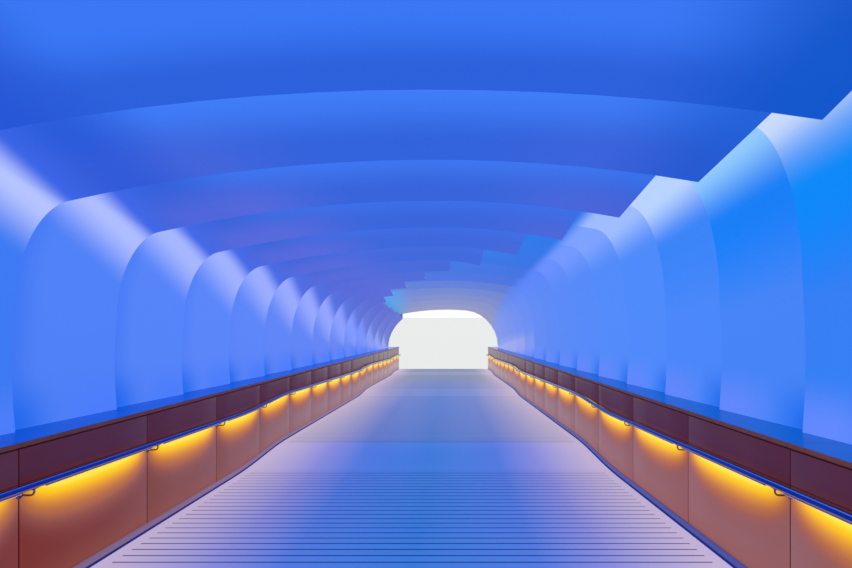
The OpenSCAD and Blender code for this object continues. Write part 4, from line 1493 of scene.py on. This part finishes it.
@dataclass
class Steelwork:
    """Bolted details of the girders and columns.

    A splice plate's sizes are its thickness and half its length and height. The anchor rod's radii
    are those at its heights, of which the last is its cut end.
    """

    lines: BridgeLines
    bent_inset: float = 1.524
    bent_count: int = 4
    column_x: float = 2.45
    anchor: float = 0.3
    splices: Sizes = (6.858, 14.478, 22.098)
    web: float = 0.018
    splice_plate: Sizes = (0.012, 0.24, 0.27)
    splice_edge: float = 0.002
    bolt: Plate = (0.017, 0.014, 6, 0.002)
    bolt_y: Sizes = (-0.19, -0.11, 0.11, 0.19)
    bolt_reach: float = 0.22
    bolt_rows: int = 6
    rod_z: Sizes = (0, 0.108, 0.114)
    rod_r: Sizes = (0.015, 0.015, 0.012)
    rod_sides: int = 12
    washer: Plate = (0.03, 0.005, 16, 0.001)
    washer_z: float = 0.04
    nut: Plate = (0.0265, 0.024, 6, 0.003)
    nut_z: float = 0.045

    def splice(self, at: float) -> list[Surface]:
        """Web plates on both faces of a girder, each with its bolts.

        Args:
            at: Station of the splice.

        Returns:
            The closed plates and bolts.
        """
        lines, forms = self.lines, []
        middle = float(lines.deck(at)) - lines.deck_t - lines.girder_h / 2
        thick, y, z = self.splice_plate
        plate = block((0, -y, -z), (thick, y, z), self.splice_edge)
        bolt = disc(*self.bolt, skin=1).along_x().moved(thick, 0, 0)
        heights = np.linspace(-self.bolt_reach, self.bolt_reach, self.bolt_rows)
        bolts = [bolt.moved(0, y, z) for y in self.bolt_y for z in heights]
        for face in Side:
            x = lines.girder_x + face.value * self.web / 2
            forms += [form.sided(face).moved(x, lines.along(at), middle) for form in (plate, *bolts)]
        return forms

    def anchors(self) -> list[Surface]:
        """Anchor bolts in the base plates: a rod with its cut end, a nut and a washer.

        Returns:
            The closed rods, washers and nuts.
        """
        rod = tube(grid(0.0, 0.0, np.array(self.rod_z)), np.array(self.rod_r), self.rod_sides, (1, 0, 0))
        washer, nut = disc(*self.washer).moved(0, 0, self.washer_z), disc(*self.nut).moved(0, 0, self.nut_z)
        bents = np.linspace(self.bent_inset, self.lines.length - self.bent_inset, self.bent_count)
        signs = (-1, 1)
        return [
            form.moved(a * self.column_x + b * self.anchor, self.lines.along(s) + c * self.anchor, 0)
            for s in bents for a in signs for b in signs for c in signs for form in (rod, washer, nut)
        ]

    def build(self) -> None:
        """Makes the splices and the anchor bolts."""
        for side in Side:
            forms = [form.sided(side) for at in self.splices for form in self.splice(at)]
            make_piece(f"girder_splices_{side.word}", forms, (GIRDER_PAINT, GALVANISED), "girder_steel")
        make_piece("anchor_bolts", self.anchors(), (GALVANISED,), "column_steel")


CARRIED = {
    "columns_": COLUMN_PAINT, "crossheads": GIRDER_PAINT, "bearings": RUBBER, "girder_": GIRDER_PAINT,
    "floor_beams": GIRDER_PAINT, "deck": CONCRETE, "knee_wall_": WALL_BOARD, "wall_end_plates": NOSING,
    "cove_lights_": COVE, "near_portal": PORTAL, "far_portal": PORTAL, "gutters": GUTTER,
}


@dataclass
class CarriedNodes:
    """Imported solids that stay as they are, with their finishes by the start of the name."""

    nodes: dict[str, bpy.types.Object]

    def build(self) -> None:
        """Gives each node that still shows its finish."""
        for name, node in self.nodes.items():
            if node.hide_render:
                continue
            finish = next(f for start, f in CARRIED.items() if name.startswith(start))
            for place in node.material_slots:
                place.material = finish.build()
            LOG.info("%s: %s", name, finish.name)


@dataclass
class Studio:
    """Pale floor, white surroundings, soft lamps and the camera.

    Turns are in degrees, lens and sensor in millimetres, and the shift is a share of the sensor.
    The inside lamps start and end inside_end from the vault's ends, and hang inside_up over the cap.
    """

    lines: BridgeLines
    reach: float = 400.0
    light: tuple[float, float, float, float] = (0.62, 0.63, 0.65, 1.0)
    key_strength: float = 1.3
    key_softness: float = 25.0
    key_turn: Sizes = (38.0, -22.0)
    inside_watts: float = 90.0
    inside_w: float = 0.8
    inside_end: float = 0.3
    inside_up: float = 0.5
    lens: float = 20.83
    sensor: float = 36.0
    shift: Sizes = (-0.0265, 0.030)
    eye: Sizes = (0.32, -16.535, 7.061)
    clip: Sizes = (0.05, 1500.0)

    def floor(self) -> None:
        """Large plain floor at ground level."""
        mesh = bpy.data.meshes.new("studio_floor")
        corners = [(x * self.reach, y * self.reach, 0) for x, y in ((-1, -1), (1, -1), (1, 1), (-1, 1))]
        mesh.from_pydata(corners, [], [(0, 1, 2, 3)])
        mesh.materials.append(Finish("studio floor", "#F0F0EE", "#F0F0EE", 0.9).build())
        floor = put("studio_floor", mesh)

    def world(self) -> None:
        """White to the camera and in reflections, and a plain grey light otherwise."""
        world = bpy.data.worlds.new("studio")
        bpy.context.scene.world = world
        world.use_nodes = True
        tree = world.node_tree
        tree.nodes.clear()
        path = add_node(tree, "LightPath")
        seen = path["Is Camera Ray"]
        for ray in ("Is Glossy Ray", "Is Transmission Ray"):
            seen = add_node(tree, "Math", {"operation": "MAXIMUM"}, {0: seen, 1: path[ray]})[0]
        light = add_node(tree, "Background", {"Color": self.light, "Strength": 1.0})[0]
        white = add_node(tree, "Background", {"Color": (1, 1, 1, 1), "Strength": 1.0})[0]
        both = add_node(tree, "MixShader", links={0: seen, 1: light, 2: white})[0]
        add_node(tree, "OutputWorld", links={"Surface": both})

    def key(self) -> None:
        """Soft key light from high on the left."""
        lamp = bpy.data.lights.new("key", "SUN")
        lamp.energy = self.key_strength
        lamp.angle = math.radians(self.key_softness)
        put("key", lamp).rotation_euler = (*map(math.radians, self.key_turn), 0)

    def inside(self) -> None:
        """Four long soft lamps on the axis of the walkway, which face up, down and to both sides."""
        lines = self.lines
        middle = lines.vault / 2
        for number in range(4):
            lamp = bpy.data.lights.new(f"inside_{number}", "AREA")
            lamp.shape = "RECTANGLE"
            lamp.size, lamp.size_y = self.inside_w, lines.vault - 2 * self.inside_end
            lamp.energy = self.inside_watts
            tool = put(lamp.name, lamp)
            tool.location = (0, lines.along(middle), float(lines.cap(middle)) + self.inside_up)
            tool.rotation_mode = "ZYX"
            tool.rotation_euler = (-math.atan(lines.cap_slope), math.radians(90 * number), 0)
            tool.visible_camera = False
            tool.visible_glossy = False

    def camera(self) -> None:
        """Camera at the photograph's place: level, near the walkway's axis, before the high end."""
        data = bpy.data.cameras.new("view")
        data.lens, data.sensor_width = self.lens, self.sensor
        data.shift_x, data.shift_y = self.shift
        data.clip_start, data.clip_end = self.clip
        eye = put("view", data)
        eye.location = self.eye
        eye.rotation_euler = (math.pi / 2, 0, 0)
        bpy.context.scene.camera = eye

    def build(self) -> None:
        """Sets up floor, world, lamps and camera."""
        self.floor()
        self.world()
        self.key()
        self.inside()
        self.camera()
        bpy.context.scene.view_settings.view_transform = "Standard"


def main() -> None:
    """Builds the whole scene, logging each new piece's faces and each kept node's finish."""
    logging.basicConfig(level=logging.INFO, format="%(message)s")
    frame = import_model()
    lines = BridgeLines()
    for side in Side:
        for kind in (ShellSet, Panelling, Handrail):
            kind(lines, side).build()
    for kind in (Floor, Envelope, Steelwork):
        kind(lines).build()
    CarriedNodes(frame["nodes"]).build()
    Studio(lines).build()


if __name__ == "__main__":
    main()
